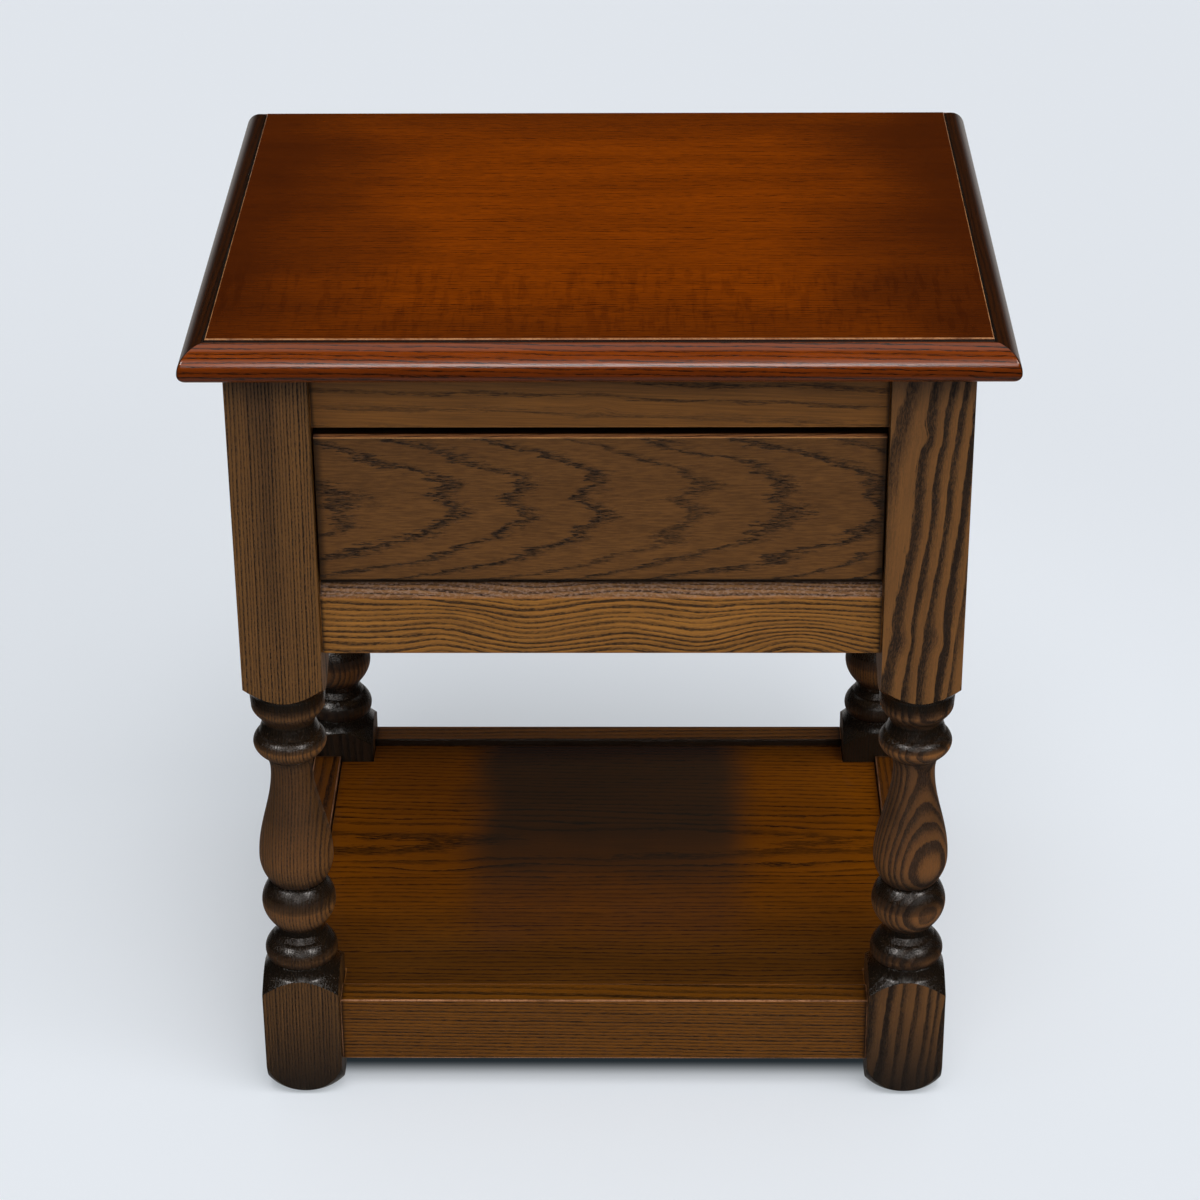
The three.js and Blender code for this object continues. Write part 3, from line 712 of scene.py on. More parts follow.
def oak(name, timber, along, pith_mm, lean=(0.0, 0.0), tones=(), knots=()):
    """A stained oak material. The pith is a point of the tree's axis in millimetres and
    lean tips that axis, in degrees, about the two directions across the grain."""
    kind = TIMBERS[timber]
    material, surface, w = new_material(name)
    place = w.put("ShaderNodeTexCoord").outputs["Object"]
    tip = Euler((math.radians(lean[0]), math.radians(lean[1]), 0)).to_matrix()
    turn = (GRAIN_TURNS[along] @ tip).to_euler()
    grown = swerved(w, place, knots)
    mapping = w.put("ShaderNodeMapping", {"vector_type": "TEXTURE"}, Vector=grown)
    mapping.inputs["Location"].default_value = [value * MM for value in pith_mm]
    mapping.inputs["Rotation"].default_value = turn
    grain = w.put(
        "ShaderNodeGroup",
        {"node_tree": grain_group()},
        Vector=mapping.outputs[0],
        Ring=kind.ring,
        Waver=kind.waver,
        Ripple=kind.ripple,
        Jag=kind.jag,
        Dark_share=kind.dark_share,
        Pore_length=kind.pore_length,
    )
    band = grain.outputs["Band"]
    pore = grain.outputs["Pore"]
    fibre = grain.outputs["Fibre"]
    mottled = w.ramp(grain.outputs["Shade"], 0.3, 0.7)

    stain = w.math("MULTIPLY", band, kind.solid * kind.contrast)
    dashed = w.math("MULTIPLY", pore, (1 - kind.solid * 0.6) * kind.contrast)
    stain = w.math("ADD", stain, dashed, clamp=True)
    thread = w.ramp(fibre, 0.3, 0.7, 0.0, kind.thread)
    stain = w.math("ADD", stain, thread, clamp=True)
    colour = w.mix(stain, display_colour(*kind.light), display_colour(*kind.dark))
    patches = w.math("MULTIPLY", mottled, kind.mottle)
    colour = deepened(w, patches, colour, MOTTLE)
    for tone in tones:
        colour = tone(w, place, colour)

    wear = w.put(
        "ShaderNodeGroup",
        {"node_tree": wear_group()},
        Vector=place,
        Arris=w.attribute("arris"),
        Amount=kind.rubbed,
    )
    colour = w.mix(wear.outputs["Bare"], colour, display_colour(*kind.bare))
    # This mask is real glaze on the turnings and painted shade in and under the mouldings; below
    # zero it lightens the wood, as wear and as painted light.
    glaze_and_shade = w.math("MULTIPLY", w.attribute("glaze_and_shade"), w.attribute("turned"))
    light = w.math("MULTIPLY", glaze_and_shade, -1.0, clamp=True)
    colour = deepened(w, light, colour, RUBBED_AND_PAINTED_LIGHT)
    glaze_and_shade = w.math("MULTIPLY", glaze_and_shade, w.ramp(fibre, 0.15, 0.6, 0.85, 0.98), clamp=True)
    w.feed(surface.inputs["Base Color"], glazed_and_shaded(w, glaze_and_shade, colour))

    rough = w.math("MULTIPLY_ADD", pore, 0.08, kind.gloss)
    shine = kind.glazed_gloss - kind.gloss
    shine = w.ramp(fibre, 0.42, 0.58, shine - 0.02, shine + 0.12)
    rough = w.math("MULTIPLY_ADD", glaze_and_shade, shine, rough, clamp=True)
    w.feed(surface.inputs["Roughness"], rough)
    surface.inputs["Specular IOR Level"].default_value = kind.specular
    relief = w.math("MULTIPLY_ADD", pore, -1.0, w.math("MULTIPLY", fibre, 0.35))
    relief = w.math("MULTIPLY_ADD", band, -0.4, relief)
    relief = w.math("MULTIPLY", relief, w.ramp(glaze_and_shade, 0.3, 1.0, 1.0, 0.12))
    bump = w.put("ShaderNodeBump", Strength=kind.relief, Distance=GRAIN_DEPTH, Height=relief)
    w.feed(surface.inputs["Normal"], bump.outputs[0])
    return material


def piece_from(bm, name, material, body, nodes, sharp_degrees=SHARP_BOARD, flats=()):
    """Turns a bmesh into a finished piece that stands for its CAD nodes. The flats keep
    their own normal, so that the rounding beside them doesn't bend their shading."""
    bm.faces.index_update()
    flat = [face.index for face in flats]
    mesh = bpy.data.meshes.new(name)
    bm.to_mesh(mesh)
    bm.free()
    mesh.shade_smooth()
    mesh.set_sharp_from_angle(angle=math.radians(sharp_degrees))
    for index in flat:
        mesh.polygons[index].use_smooth = False
    mesh.materials.append(material)
    piece = bpy.data.objects.new(name, mesh)
    bpy.context.scene.collection.objects.link(piece)
    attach(piece, body)
    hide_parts(*nodes)
    if not mesh.polygons:
        raise RuntimeError(f"{name} came out with no faces")


def body_of(node):
    return frame["nodes"][node]["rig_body"]


def is_long_and_sharp(edge):
    """True for an edge that a plane would have eased."""
    if len(edge.link_faces) != 2 or edge.calc_length() < EASED_LENGTH:
        return False
    return edge.calc_face_angle(0.0) > EASED_ANGLE


def rounded_over(bm, edges, width, segments):
    """Rounds the edges over and gives the new faces."""
    made = bmesh.ops.bevel(
        bm,
        geom=edges,
        offset=width,
        segments=segments,
        profile=0.5,
        affect="EDGES",
        clamp_overlap=True,
        material=-1,
    )
    return made["faces"]


def chain(bm, places):
    """A chain of edges through the places, as its vertices."""
    verts = [bm.verts.new(place) for place in places]
    for first, second in zip(verts, verts[1:]):
        bm.edges.new((first, second))
    return verts


def spin_profile(bm, centre, steps):
    """Turns the profile in a bmesh about the upright axis through the centre."""
    bmesh.ops.spin(
        bm,
        geom=bm.verts[:] + bm.edges[:],
        cent=centre,
        axis=(0, 0, 1),
        angle=math.tau,
        steps=steps,
        use_merge=True,
    )
    bmesh.ops.remove_doubles(bm, verts=bm.verts, dist=WELD)
    bmesh.ops.recalc_face_normals(bm, faces=bm.faces)


def verts_in(geom):
    return [g for g in geom if isinstance(g, bmesh.types.BMVert)]


def eased_copy(node, name, material, slot, width, wanted=None, worn=None):
    """A copy of a CAD node with its long arrises eased. The new faces along them are
    marked for the wear in the material, all of them or those that worn picks."""
    bm = bmesh.new()
    bm.from_mesh(frame["nodes"][node].data)
    bmesh.ops.remove_doubles(bm, verts=bm.verts, dist=CAD_WELD)
    bmesh.ops.dissolve_limit(
        bm,
        angle_limit=FLAT_ANGLE,
        verts=bm.verts,
        edges=bm.edges,
        delimit={"NORMAL"},
    )
    arris = bm.faces.layers.float.new("arris")
    edges = [e for e in bm.edges if is_long_and_sharp(e) and (wanted is None or wanted(e))]
    eased = rounded_over(bm, edges, width, EASED_SEGMENTS)
    for face in eased:
        face[arris] = 1.0 if worn is None or worn(face) else 0.0
    for layer in list(bm.loops.layers.uv.values()):
        bm.loops.layers.uv.remove(layer)
    flats = set(bm.faces) - set(eased)
    piece_from(bm, name, material, body_of(node), [node], flats=flats)


def make_board(node, slot, width, timber, grain, tones=(), knots=(), **eased):
    """A board eased from its CAD node, in oak of its own. Its grain is the direction, the
    pith and the lean that oak() takes."""
    material = oak(node.replace("_", " "), timber, *grain, tones, knots)
    eased_copy(node, f"oak_{node}", material, slot, width, **eased)


def leg_profile(case_top):
    """The lathe's profile as (radius, height, glaze) in millimetres, floor to case."""
    corner = LEG_STOCK * math.sqrt(0.5)
    flat = LEG_STOCK / 2
    clear = corner + CORNER_SLACK
    spread = SHOULDER_SPREAD * (clear - flat) / (corner - flat)
    points = [(0.0, 0.0, 0.5), (FOOT_RADIUS, 0.0, 0.5)]

    def stage(rise, end_radius, law, glaze_and_shade, step=RING_STEP):
        start_radius, start_height, _ = points[-1]
        steps = max(1, round(rise / step))
        for i in range(1, steps + 1):
            t = i / steps
            low, middle, high = glaze_and_shade
            if t < 0.5:
                dark = low + (middle - low) * 2 * t
            else:
                dark = middle + (high - middle) * (2 * t - 1)
            radius = start_radius + (end_radius - start_radius) * law(t)
            points.append((radius, start_height + rise * t, dark))

    def quarter(t):
        return math.sqrt(1 - (1 - t) ** 2)

    full = (1.0, 1.0, 1.0)
    stage(FOOT_ROUNDING, clear, quarter, (0.8, 0.7, 0.4), FOOT_STEP)
    stage(LOWER_BLOCK - FOOT_ROUNDING - spread, clear, straight, full, FLAT_STEP)
    stage(spread, flat, straight, full)
    marks = {}
    for name, rise, end_radius, law, glaze_and_shade in RINGS:
        stage(rise, end_radius, law, glaze_and_shade)
        marks[name] = points[-1][1]
    stage(spread, clear, straight, full)
    stage(case_top - points[-1][1], clear, straight, full, FLAT_STEP)

    for name, depth, half in GROOVES:
        centre = marks[name]
        for i, (radius, height, dark) in enumerate(points):
            near = 1 - abs(height - centre) / half
            if near > 0:
                points[i] = (radius - depth * near, height, max(dark, near))
    points.append((0.0, case_top, 1.0))
    return points


def build_leg(node, material):
    """Spins the profile, then saws the four flats of the blocks."""
    low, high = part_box(node)
    centre = (low + high) / 2
    half = (high.x - low.x) / 2
    bm = bmesh.new()
    glaze_and_shade = bm.verts.layers.float.new("glaze_and_shade")
    turned = bm.faces.layers.float.new("turned")
    arris = bm.faces.layers.float.new("arris")
    profile = leg_profile(high.z / MM)
    verts = chain(bm, [(centre.x + r * MM, centre.y, height * MM) for r, height, _ in profile])
    for vert, (_, _, dark) in zip(verts, profile):
        vert[glaze_and_shade] = dark
    spin_profile(bm, (centre.x, centre.y, 0), sizes().lathe_facets)
    for face in bm.faces:
        face[turned] = 1.0
    for way in (Vector((1, 0, 0)), Vector((-1, 0, 0)), Vector((0, 1, 0)), Vector((0, -1, 0))):
        cut = bmesh.ops.bisect_plane(
            bm,
            geom=bm.verts[:] + bm.edges[:] + bm.faces[:],
            dist=CUT_TOLERANCE,
            plane_co=centre + way * half,
            plane_no=way,
            clear_outer=True,
        )
        bmesh.ops.remove_doubles(bm, verts=verts_in(cut["geom_cut"]), dist=WELD)
        rim = [e for e in bm.edges if len(e.link_faces) == 1]
        filled = bmesh.ops.holes_fill(bm, edges=rim, sides=0)
        for face in filled["faces"]:
            face[turned] = 0.0
    loose = [e for e in bm.edges if not e.link_faces]
    bmesh.ops.delete(bm, geom=loose, context="EDGES")
    bmesh.ops.recalc_face_normals(bm, faces=bm.faces)
    upright = []
    for edge in bm.edges:
        ends = [v.co for v in edge.verts]
        rises = abs(ends[0].z - ends[1].z)
        leans = (ends[0] - ends[1]).xy.length
        steep = edge.calc_face_angle(0.0) > UPRIGHT_ANGLE
        if rises > UPRIGHT_LENGTH and leans < WELD and steep:
            upright.append(edge)
    if len(upright) != LEG_ARRISES:
        raise RuntimeError(f"{node} has {len(upright)} upright arrises, not {LEG_ARRISES}")
    rounded = set(rounded_over(bm, upright, sizes().leg_arris, UPRIGHT_SEGMENTS))
    for face in rounded:
        on_upper_block = face.calc_center_median().z > LOWER_BLOCK * MM
        face[arris] = 1.0 if on_upper_block else LOWER_BLOCK_WEAR
        face[turned] = 0.0
    flats = [face for face in bm.faces if face[turned] == 0 and face not in rounded]
    name = f"oak_{node}"
    piece_from(bm, name, material, body_of(node), [node], SHARP_TURNED, flats)


def moulding_section(width):
    """The moulding's section as (out from the field, down from the table top), in mm."""
    thick = (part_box("top_panel")[1].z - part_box("top_panel")[0].z) / MM
    widest = TOP_QUIRK + MOULDING_DROP
    section = [(0.0, thick), (0.0, TOP_QUIRK)]
    for i in range(MOULDING_STEPS + 1):
        angle = math.pi / 2 * i / MOULDING_STEPS
        out = MOULDING_FLAT + (width - MOULDING_FLAT) * math.sin(angle)
        section.append((out, widest - MOULDING_DROP * math.cos(angle)))
    centre_out = width - MOULDING_UNDER_ROUND
    centre_down = thick - MOULDING_UNDER_ROUND
    for i in range(MOULDING_STEPS + 1):
        angle = math.pi / 2 * i / MOULDING_STEPS
        section.append(
            (
                centre_out + MOULDING_UNDER_ROUND * math.cos(angle),
                centre_down + MOULDING_UNDER_ROUND * math.sin(angle),
            )
        )
    return section


def build_moulding(word, material):
    """One length of moulding, mitred, with the outer corners rounded in plan."""
    node = f"top_moulding_{word}"
    low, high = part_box(node)
    field_low, field_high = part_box("top_panel")
    top = field_high.z
    along, across = (0, 1) if word in ("front", "back") else (1, 0)
    half = (field_high[along] - field_low[along]) / 2
    face = (field_high[across] - field_low[across]) / 2
    width = (high[across] - low[across]) / MM
    section = moulding_section(width)
    quarter_turns = range(MOULDING_CORNER_STEPS + 1)
    turns = [math.pi / 4 * i / MOULDING_CORNER_STEPS for i in quarter_turns]
    stations = [(-1, turn) for turn in reversed(turns)] + [(1, turn) for turn in turns]

    def quirk_and_under_shade(out_mm, down_mm):
        """Painted shade, with the stain that gathers there, where the moulding meets the field,
        and painted shade under the moulding.
        """
        if down_mm > TOP_QUIRK + MOULDING_DROP:
            return MOULDING_UNDER_SHADE
        return max(0.0, 1 - max(0.0, out_mm - MOULDING_FLAT) / QUIRK_SHADE_FADE)

    def place(out_mm, down_mm, side, turn):
        corner = MOULDING_CORNER_ROUND * (out_mm / width) ** 1.5
        back = corner * (1 - math.sin(turn))
        inward = corner * (1 - math.cos(turn))
        reach = half + (out_mm - back - MITRE_GAP) * MM
        return Vector((side * reach, face + (out_mm - inward) * MM, top - down_mm * MM))

    bm = bmesh.new()
    glaze_and_shade = bm.verts.layers.float.new("glaze_and_shade")
    turned = bm.faces.layers.float.new("turned")
    side, turn = stations[0]
    ring = [bm.verts.new(place(out, down, side, turn)) for out, down in section]
    bm.faces.new(ring)
    edges = list(bm.edges)
    for side, turn in stations[1:]:
        made = bmesh.ops.extrude_edge_only(bm, edges=edges)
        edges = [g for g in made["geom"] if isinstance(g, bmesh.types.BMEdge)]
        ring = match_ring(ring, verts_in(made["geom"]))
        for vert, (out, down) in zip(ring, section):
            vert.co = place(out, down, side, turn)
    bm.faces.new(ring)
    for vert in bm.verts:
        vert[glaze_and_shade] = quirk_and_under_shade((vert.co.y - face) / MM, (top - vert.co.z) / MM)
    for moulded in bm.faces:
        moulded[turned] = 1.0
    bmesh.ops.recalc_face_normals(bm, faces=bm.faces)
    spin = Matrix.Rotation(math.radians(MOULDING_SPINS[word]), 3, "Z")
    bmesh.ops.rotate(bm, verts=bm.verts, cent=(0, 0, 0), matrix=spin)
    name = f"oak_{node}"
    piece_from(bm, name, material, body_of(node), [node], SHARP_MOULDING)


def match_ring(ring, fresh):
    """The new vertices of an extrusion in the order of the ring that they came from."""
    left = list(fresh)
    matched = []
    for old in ring:
        twin = min(left, key=lambda v: (v.co - old.co).length_squared)
        left.remove(twin)
        matched.append(twin)
    return matched


def steel_material():
    """Bright steel wood screws, with fine turning marks."""
    material, surface, w = new_material("screw steel")
    place = w.put("ShaderNodeTexCoord").outputs["Object"]
    grime = w.noise(w.vector("MULTIPLY", place, (900.0, 900.0, 900.0)), detail=3.0)
    dull = w.ramp(grime, 0.35, 0.7)
    steel = tuple(colours().steel)
    tarnish = tuple(value * 0.45 for value in steel)
    w.feed(surface.inputs["Base Color"], w.mix(dull, steel, tarnish))
    w.feed(surface.inputs["Roughness"], w.ramp(grime, 0.3, 0.7, 0.28, 0.55))
    surface.inputs["Metallic"].default_value = 1.0
    bump = w.put("ShaderNodeBump", Strength=0.25, Distance=0.0001, Height=grime)
    w.feed(surface.inputs["Normal"], bump.outputs[0])
    return material


def build_screw(node, way, material):
    """A slotted countersunk screw with a thread, where the CAD screw is."""
    low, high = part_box(node)
    middle = (low + high) / 2
    length = max(high - low) / MM
    start = middle - way * length * MM / 2
    shank_end = length - SCREW_TIP
    profile = [(0.0, 0.0), (SCREW_SLOT_REACH + 0.2, 0.0), (SCREW_HEAD_RADIUS, 0.0)]
    profile += [(SCREW_HEAD_RADIUS, SCREW_RIM), (SCREW_SHANK_RADIUS, SCREW_RIM + SCREW_CONE)]
    height = SCREW_RIM + SCREW_CONE + length * SCREW_PLAIN_SHARE
    while height + THREAD_PITCH < shank_end:
        profile.append((SCREW_SHANK_RADIUS - THREAD_DEPTH, height))
        profile.append((SCREW_SHANK_RADIUS, height + THREAD_PITCH / 2))
        height += THREAD_PITCH
    profile += [(SCREW_SHANK_RADIUS - THREAD_DEPTH, shank_end), (0.0, length)]
    bm = bmesh.new()
    chain(bm, [(radius * MM, 0, up * MM) for radius, up in profile])
    spin_profile(bm, (0, 0, 0), SCREW_FACETS)

    def crown():
        return [face for face in bm.faces if face.normal.z < -0.9]

    bmesh.ops.dissolve_faces(bm, faces=crown(), use_verts=True)
    cuts = ((SCREW_SLOT_HALF, Vector((0, 1, 0))), (SCREW_SLOT_REACH, Vector((1, 0, 0))))
    for reach, way_out in cuts:
        for side in (-1, 1):
            around = crown()
            for face in crown():
                around += [*face.edges, *face.verts]
            bmesh.ops.bisect_plane(
                bm,
                geom=list(dict.fromkeys(around)),
                dist=CUT_TOLERANCE,
                plane_co=way_out * side * reach * MM,
                plane_no=way_out,
            )
    slot = []
    for face in crown():
        spot = face.calc_center_median()
        if abs(spot.y) < SCREW_SLOT_HALF * MM and abs(spot.x) < SCREW_SLOT_REACH * MM:
            slot.append(face)
    if not slot:
        raise RuntimeError(f"{node} found no place for its slot")
    made = bmesh.ops.extrude_face_region(bm, geom=slot)
    sunk = verts_in(made["geom"])
    bmesh.ops.translate(bm, verts=sunk, vec=(0, 0, SCREW_SLOT_DEPTH * MM))
    bmesh.ops.delete(bm, geom=slot, context="FACES")
    bmesh.ops.recalc_face_normals(bm, faces=bm.faces)
    turn = Vector((0, 0, 1)).rotation_difference(way).to_matrix().to_4x4()
    bmesh.ops.transform(bm, matrix=Matrix.Translation(start) @ turn, verts=bm.verts)
    name = f"steel_{node}"
    piece_from(bm, name, material, body_of(node), [node], SHARP_TURNED)


def add_sun(name, azimuth, elevation, angle, strength):
    """A soft light far off. Azimuth 0 comes from behind the camera, and grows to its
    right."""
    lamp = bpy.data.lights.new(name, "SUN")
    lamp.energy = strength
    lamp.angle = math.radians(angle)
    light = bpy.data.objects.new(name, lamp)
    a, e = math.radians(azimuth), math.radians(elevation)
    towards = Vector((math.sin(a) * math.cos(e), -math.cos(a) * math.cos(e), math.sin(e)))
    light.rotation_euler = towards.to_track_quat("Z", "Y").to_euler()
    light.visible_glossy = False
    bpy.context.scene.collection.objects.link(light)


def soft_box(w, towards, left, right, low, high, edge, strength):
    """The light of one soft box in a direction. Azimuths and elevations are degrees, with
    azimuth 0 behind the camera."""
    x, y, z = w.split(towards)
    azimuth = w.math("DEGREES", w.math("ARCTAN2", x, w.math("MULTIPLY", y, -1.0)))
    elevation = w.math("DEGREES", w.math("ARCSINE", z))
    return w.product(
        w.ramp(azimuth, left - edge, left),
        w.ramp(azimuth, right, right + edge, 1.0, 0.0),
        w.ramp(elevation, low - edge, low),
        w.ramp(elevation, high, high + edge, 1.0, 0.0),
        strength,
    )


def moulding_shade_tone(w, place, colour):
    """Painted shade: the nose of the moulding and what lies under it are darker than its crown.
    """
    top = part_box("top_panel")[1].z
    nose_shade = w.ramp(w.split(place)[2], top - 15.5 * MM, top - 9.5 * MM, 0.78, 0.0)
    return deepened(w, nose_shade, colour, (0.46, 0.42, 0.35))


def field_tone(w, place, colour):
    """The top is burnished darker towards its edges and figured near the front, with painted
    shade and stain down its edge in the quirk.
    """
    low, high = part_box("top_panel")
    x, y, z = w.split(place)
    mm = w.scale(place, TO_MM)
    side = w.math("DIVIDE", w.math("ABSOLUTE", x), high.x)
    end = w.math("DIVIDE", w.math("ABSOLUTE", y), high.y)
    cloud = w.centred_noise(w.stretched(mm, 90.0, 90.0))
    side = w.ramp(w.math("MULTIPLY_ADD", cloud, 0.5, side), 0.4, 1.0, 0.0, 0.82)
    edge = w.math("MAXIMUM", side, w.ramp(end, 0.6, 1.0, 0.0, 0.5))
    colour = w.mix(edge, colour, display_colour(63, 24, 4))
    figure = w.noise(w.vector("MULTIPLY", mm, (1 / 4.5, 1 / 30.0, 1 / 60.0)))
    near_front = w.ramp(y, low.y * 0.30, low.y * 0.55)
    before_edge = w.ramp(y, low.y * 0.92, low.y * 0.98, 1.0, 0.4)
    fleck = w.product(w.ramp(figure, 0.46, 0.66), near_front, before_edge, 0.34)
    colour = deepened(w, fleck, colour, (0.45, 0.36, 0.40))
    # Painted shade, with stain, down the edge of the field in the quirk
    quirk_shade = w.ramp(z, high.z - 1.3 * MM, high.z - 0.9 * MM, 1.0, 0.0)
    return glazed_and_shaded(w, quirk_shade, colour)


def shelf_shade_tone(w, place, colour):
    """Painted shadow in the middle of the shelf and along its back, and painted shade with a
    grey sheen on its front."""
    x, y, _ = w.split(place)
    mm = w.scale(place, TO_MM)
    cloud = w.centred_noise(w.stretched(mm, 60.0, 60.0))
    reach = w.math("MULTIPLY_ADD", cloud, 0.03, w.math("ABSOLUTE", x))
    middle = w.ramp(reach, 0.074, 0.118, 1.0, 0.0)
    back = w.ramp(w.math("MULTIPLY_ADD", cloud, 0.06, y), -0.13, 0.05)
    colour = w.mix(w.product(middle, back, 0.78), colour, display_colour(36, 39, 35))
    front = w.ramp(y, -0.13, -0.01, 0.85, 0.0)
    colour = deepened(w, front, colour, (0.34, 0.45, 1.9))
    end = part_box("shelf_board")[1].y
    shadow_behind = w.ramp(y, end - 35 * MM, end - 4 * MM, 0.0, 0.7)
    return deepened(w, shadow_behind, colour, (0.3, 0.35, 0.7))


def leg_tone(w, place, colour):
    """The legs are darker towards the floor, painted shade with some stain, and stained darker
    on their turned parts.
    """
    height = w.split(place)[2]
    towards_floor_shade = w.ramp(height, 0.03, 0.36, 0.65, 0.0)
    colour = deepened(w, towards_floor_shade, colour, (0.42, 0.42, 0.42))
    colour = deepened(w, w.attribute("turned"), colour, (0.54, 0.51, 0.42))
    even = w.math("MULTIPLY", w.attribute("turned"), 0.22)
    colour = w.mix(even, colour, display_colour(58, 37, 20))
    # Painted shade, with stain, deepest at the floor
    floor_shade = w.ramp(height, -0.005, 0.078, 0.95, 0.0)
    return top_shadow_tone(w, place, glazed_and_shaded(w, floor_shade, colour))


def top_shadow_tone(w, place, colour):
    """Painted shadow under the edge of the top."""
    case_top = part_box("leg_front_left")[1].z
    near = w.ramp(w.split(place)[2], case_top - 26 * MM, case_top - 2 * MM, 0.0, 0.8)
    return deepened(w, near, colour, (0.45, 0.45, 0.50))


def far_shade_tone(w, place, colour):
    """Painted shade on the back legs: darkest low down, on the faces towards the shelf."""
    _, y, height = w.split(place)
    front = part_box("leg_back_left")[0].y
    facing = w.ramp(y, front + 1 * MM, front + 12 * MM, 1.0, 0.0)
    low = w.ramp(height, 0.092, 0.13, 0.95, 0.2)
    return deepened(w, w.math("MULTIPLY", facing, low), colour, (0.12, 0.13, 0.14))


def heart_tone(w, place, colour):
    """The front left leg is darker down the middle of its face."""
    low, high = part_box("leg_front_left")
    middle = (low.x + high.x) / 2
    x, _, height = w.split(place)
    cloud = w.centred_noise(w.vector("MULTIPLY", place, (60.0, 60.0, 9.0)))
    offset = w.math("ABSOLUTE", w.math("SUBTRACT", x, middle - 2 * MM))
    offset = w.math("MULTIPLY_ADD", cloud, 0.02, offset)
    narrow = w.ramp(offset, 0.002, 0.014, 0.6, 0.0)
    heart = w.math("MULTIPLY", narrow, w.ramp(height, 0.30, 0.42))
    return deepened(w, heart, colour, (0.52, 0.52, 0.62))


def corner_shade_tone(axis):
    """Painted shade, with stain, where a rail meets the legs. The axis is the rail's own, 0 or
    1.
    """
    inner = -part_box("leg_front_left")[1][axis]

    def shade_and_stain(w, place, colour):
        reach = w.math("ABSOLUTE", w.split(place)[axis])
        dark = w.ramp(reach, inner - 3.5 * MM, inner - 0.8 * MM, 0.0, 0.85)
        return glazed_and_shaded(w, dark, colour)

    return shade_and_stain


def chamfer_sheen_tone(w, place, colour):
    """Painted sheen and glints make the chamfer of the bottom rails greyer than their faces, and
    a painted shadow runs along the gap above it.
    """
    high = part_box("front_bottom_rail")[1]
    height = w.split(place)[2]
    above = w.ramp(height, high.z - 11.2 * MM, high.z - 10.4 * MM)
    colour = deepened(w, above, colour, (0.74, 0.84, 1.9))
    # Painted glints in the pores of the chamfer
    glint_place = w.vector("MULTIPLY", place, (420.0, 420.0, 1100.0))
    glints = w.product(w.ramp(w.noise(glint_place), 0.46, 0.62), above, 0.42)
    colour = w.mix(glints, colour, display_colour(158, 130, 114))
    gap_shadow = w.ramp(height, high.z - 4 * MM, high.z - 3 * MM, 0.0, 0.92)
    return glazed_and_shaded(w, gap_shadow, colour)


def inner_edge_highlight_tone(axis):
    """A painted highlight along the inner arris of a stretcher. The axis runs across it, 0 or 1.
    """
    low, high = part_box("left_stretcher" if axis == 0 else "back_stretcher")
    inner = abs(low[axis])
    top = high.z

    # Lightens the arris as a painted highlight
    def rubbed(w, place, colour):
        parts = w.split(place)
        reach = w.math("ABSOLUTE", parts[axis])
        near = w.ramp(reach, inner + 0.6 * MM, inner + 1.2 * MM, 1.0, 0.0)
        near = w.math("MULTIPLY", near, w.ramp(parts[2], top - 0.9 * MM, top - 0.6 * MM))
        return deepened(w, near, colour, (1.9, 1.9, 4.0))

    return rubbed


def hollow_shade_tone(node, axis, side):
    """Painted shade, with stain, on the face of a stretcher towards the shelf; the top of a
    side stretcher is darker too. The side is -1 where that face is the lower one of the axis."""
    low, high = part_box(node)
    face = low[axis] if side < 0 else -high[axis]

    def shade_and_stain(w, place, colour):
        parts = w.split(place)
        depth = w.math("MULTIPLY_ADD", parts[axis], -side, -face)
        colour = glazed_and_shaded(w, w.ramp(depth, 0.6 * MM, 1.6 * MM, 0.92, 0.0), colour)
        if axis == 1:
            return colour
        top = w.ramp(parts[2], high.z - 2 * MM, high.z - 0.6 * MM, 0.0, 0.9)
        return deepened(w, top, colour, (0.42, 0.38, 0.25))

    return shade_and_stain


def front_edge_shade_tone(w, place, colour):
    """Painted shade round the edges of the drawer front, painted light with a glint on the front
    of its top edge, and painted shadow behind that.
    """
    low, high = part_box("drawer_front")
    x, y, z = w.split(place)
    sides = w.ramp(w.math("ABSOLUTE", x), high.x - 6 * MM, high.x - 0.5 * MM, 0.0, 0.7)
    shadow_under = w.ramp(z, low.z, low.z + 1.5 * MM, 0.7, 0.0)
    colour = glazed_and_shaded(w, w.math("MAXIMUM", sides, shadow_under), colour)
    above = w.ramp(z, high.z - 0.5 * MM, high.z - 0.2 * MM)
    shadow_behind = w.ramp(y, low.y + 4.5 * MM, low.y + 6.2 * MM)
    lit_lip = w.math("MULTIPLY", above, w.math("SUBTRACT", 1.0, shadow_behind))
    colour = deepened(w, lit_lip, colour, (4.0, 4.0, 7.0))
    return deepened(w, w.math("MULTIPLY", above, shadow_behind), colour, (0.12, 0.12, 0.12))


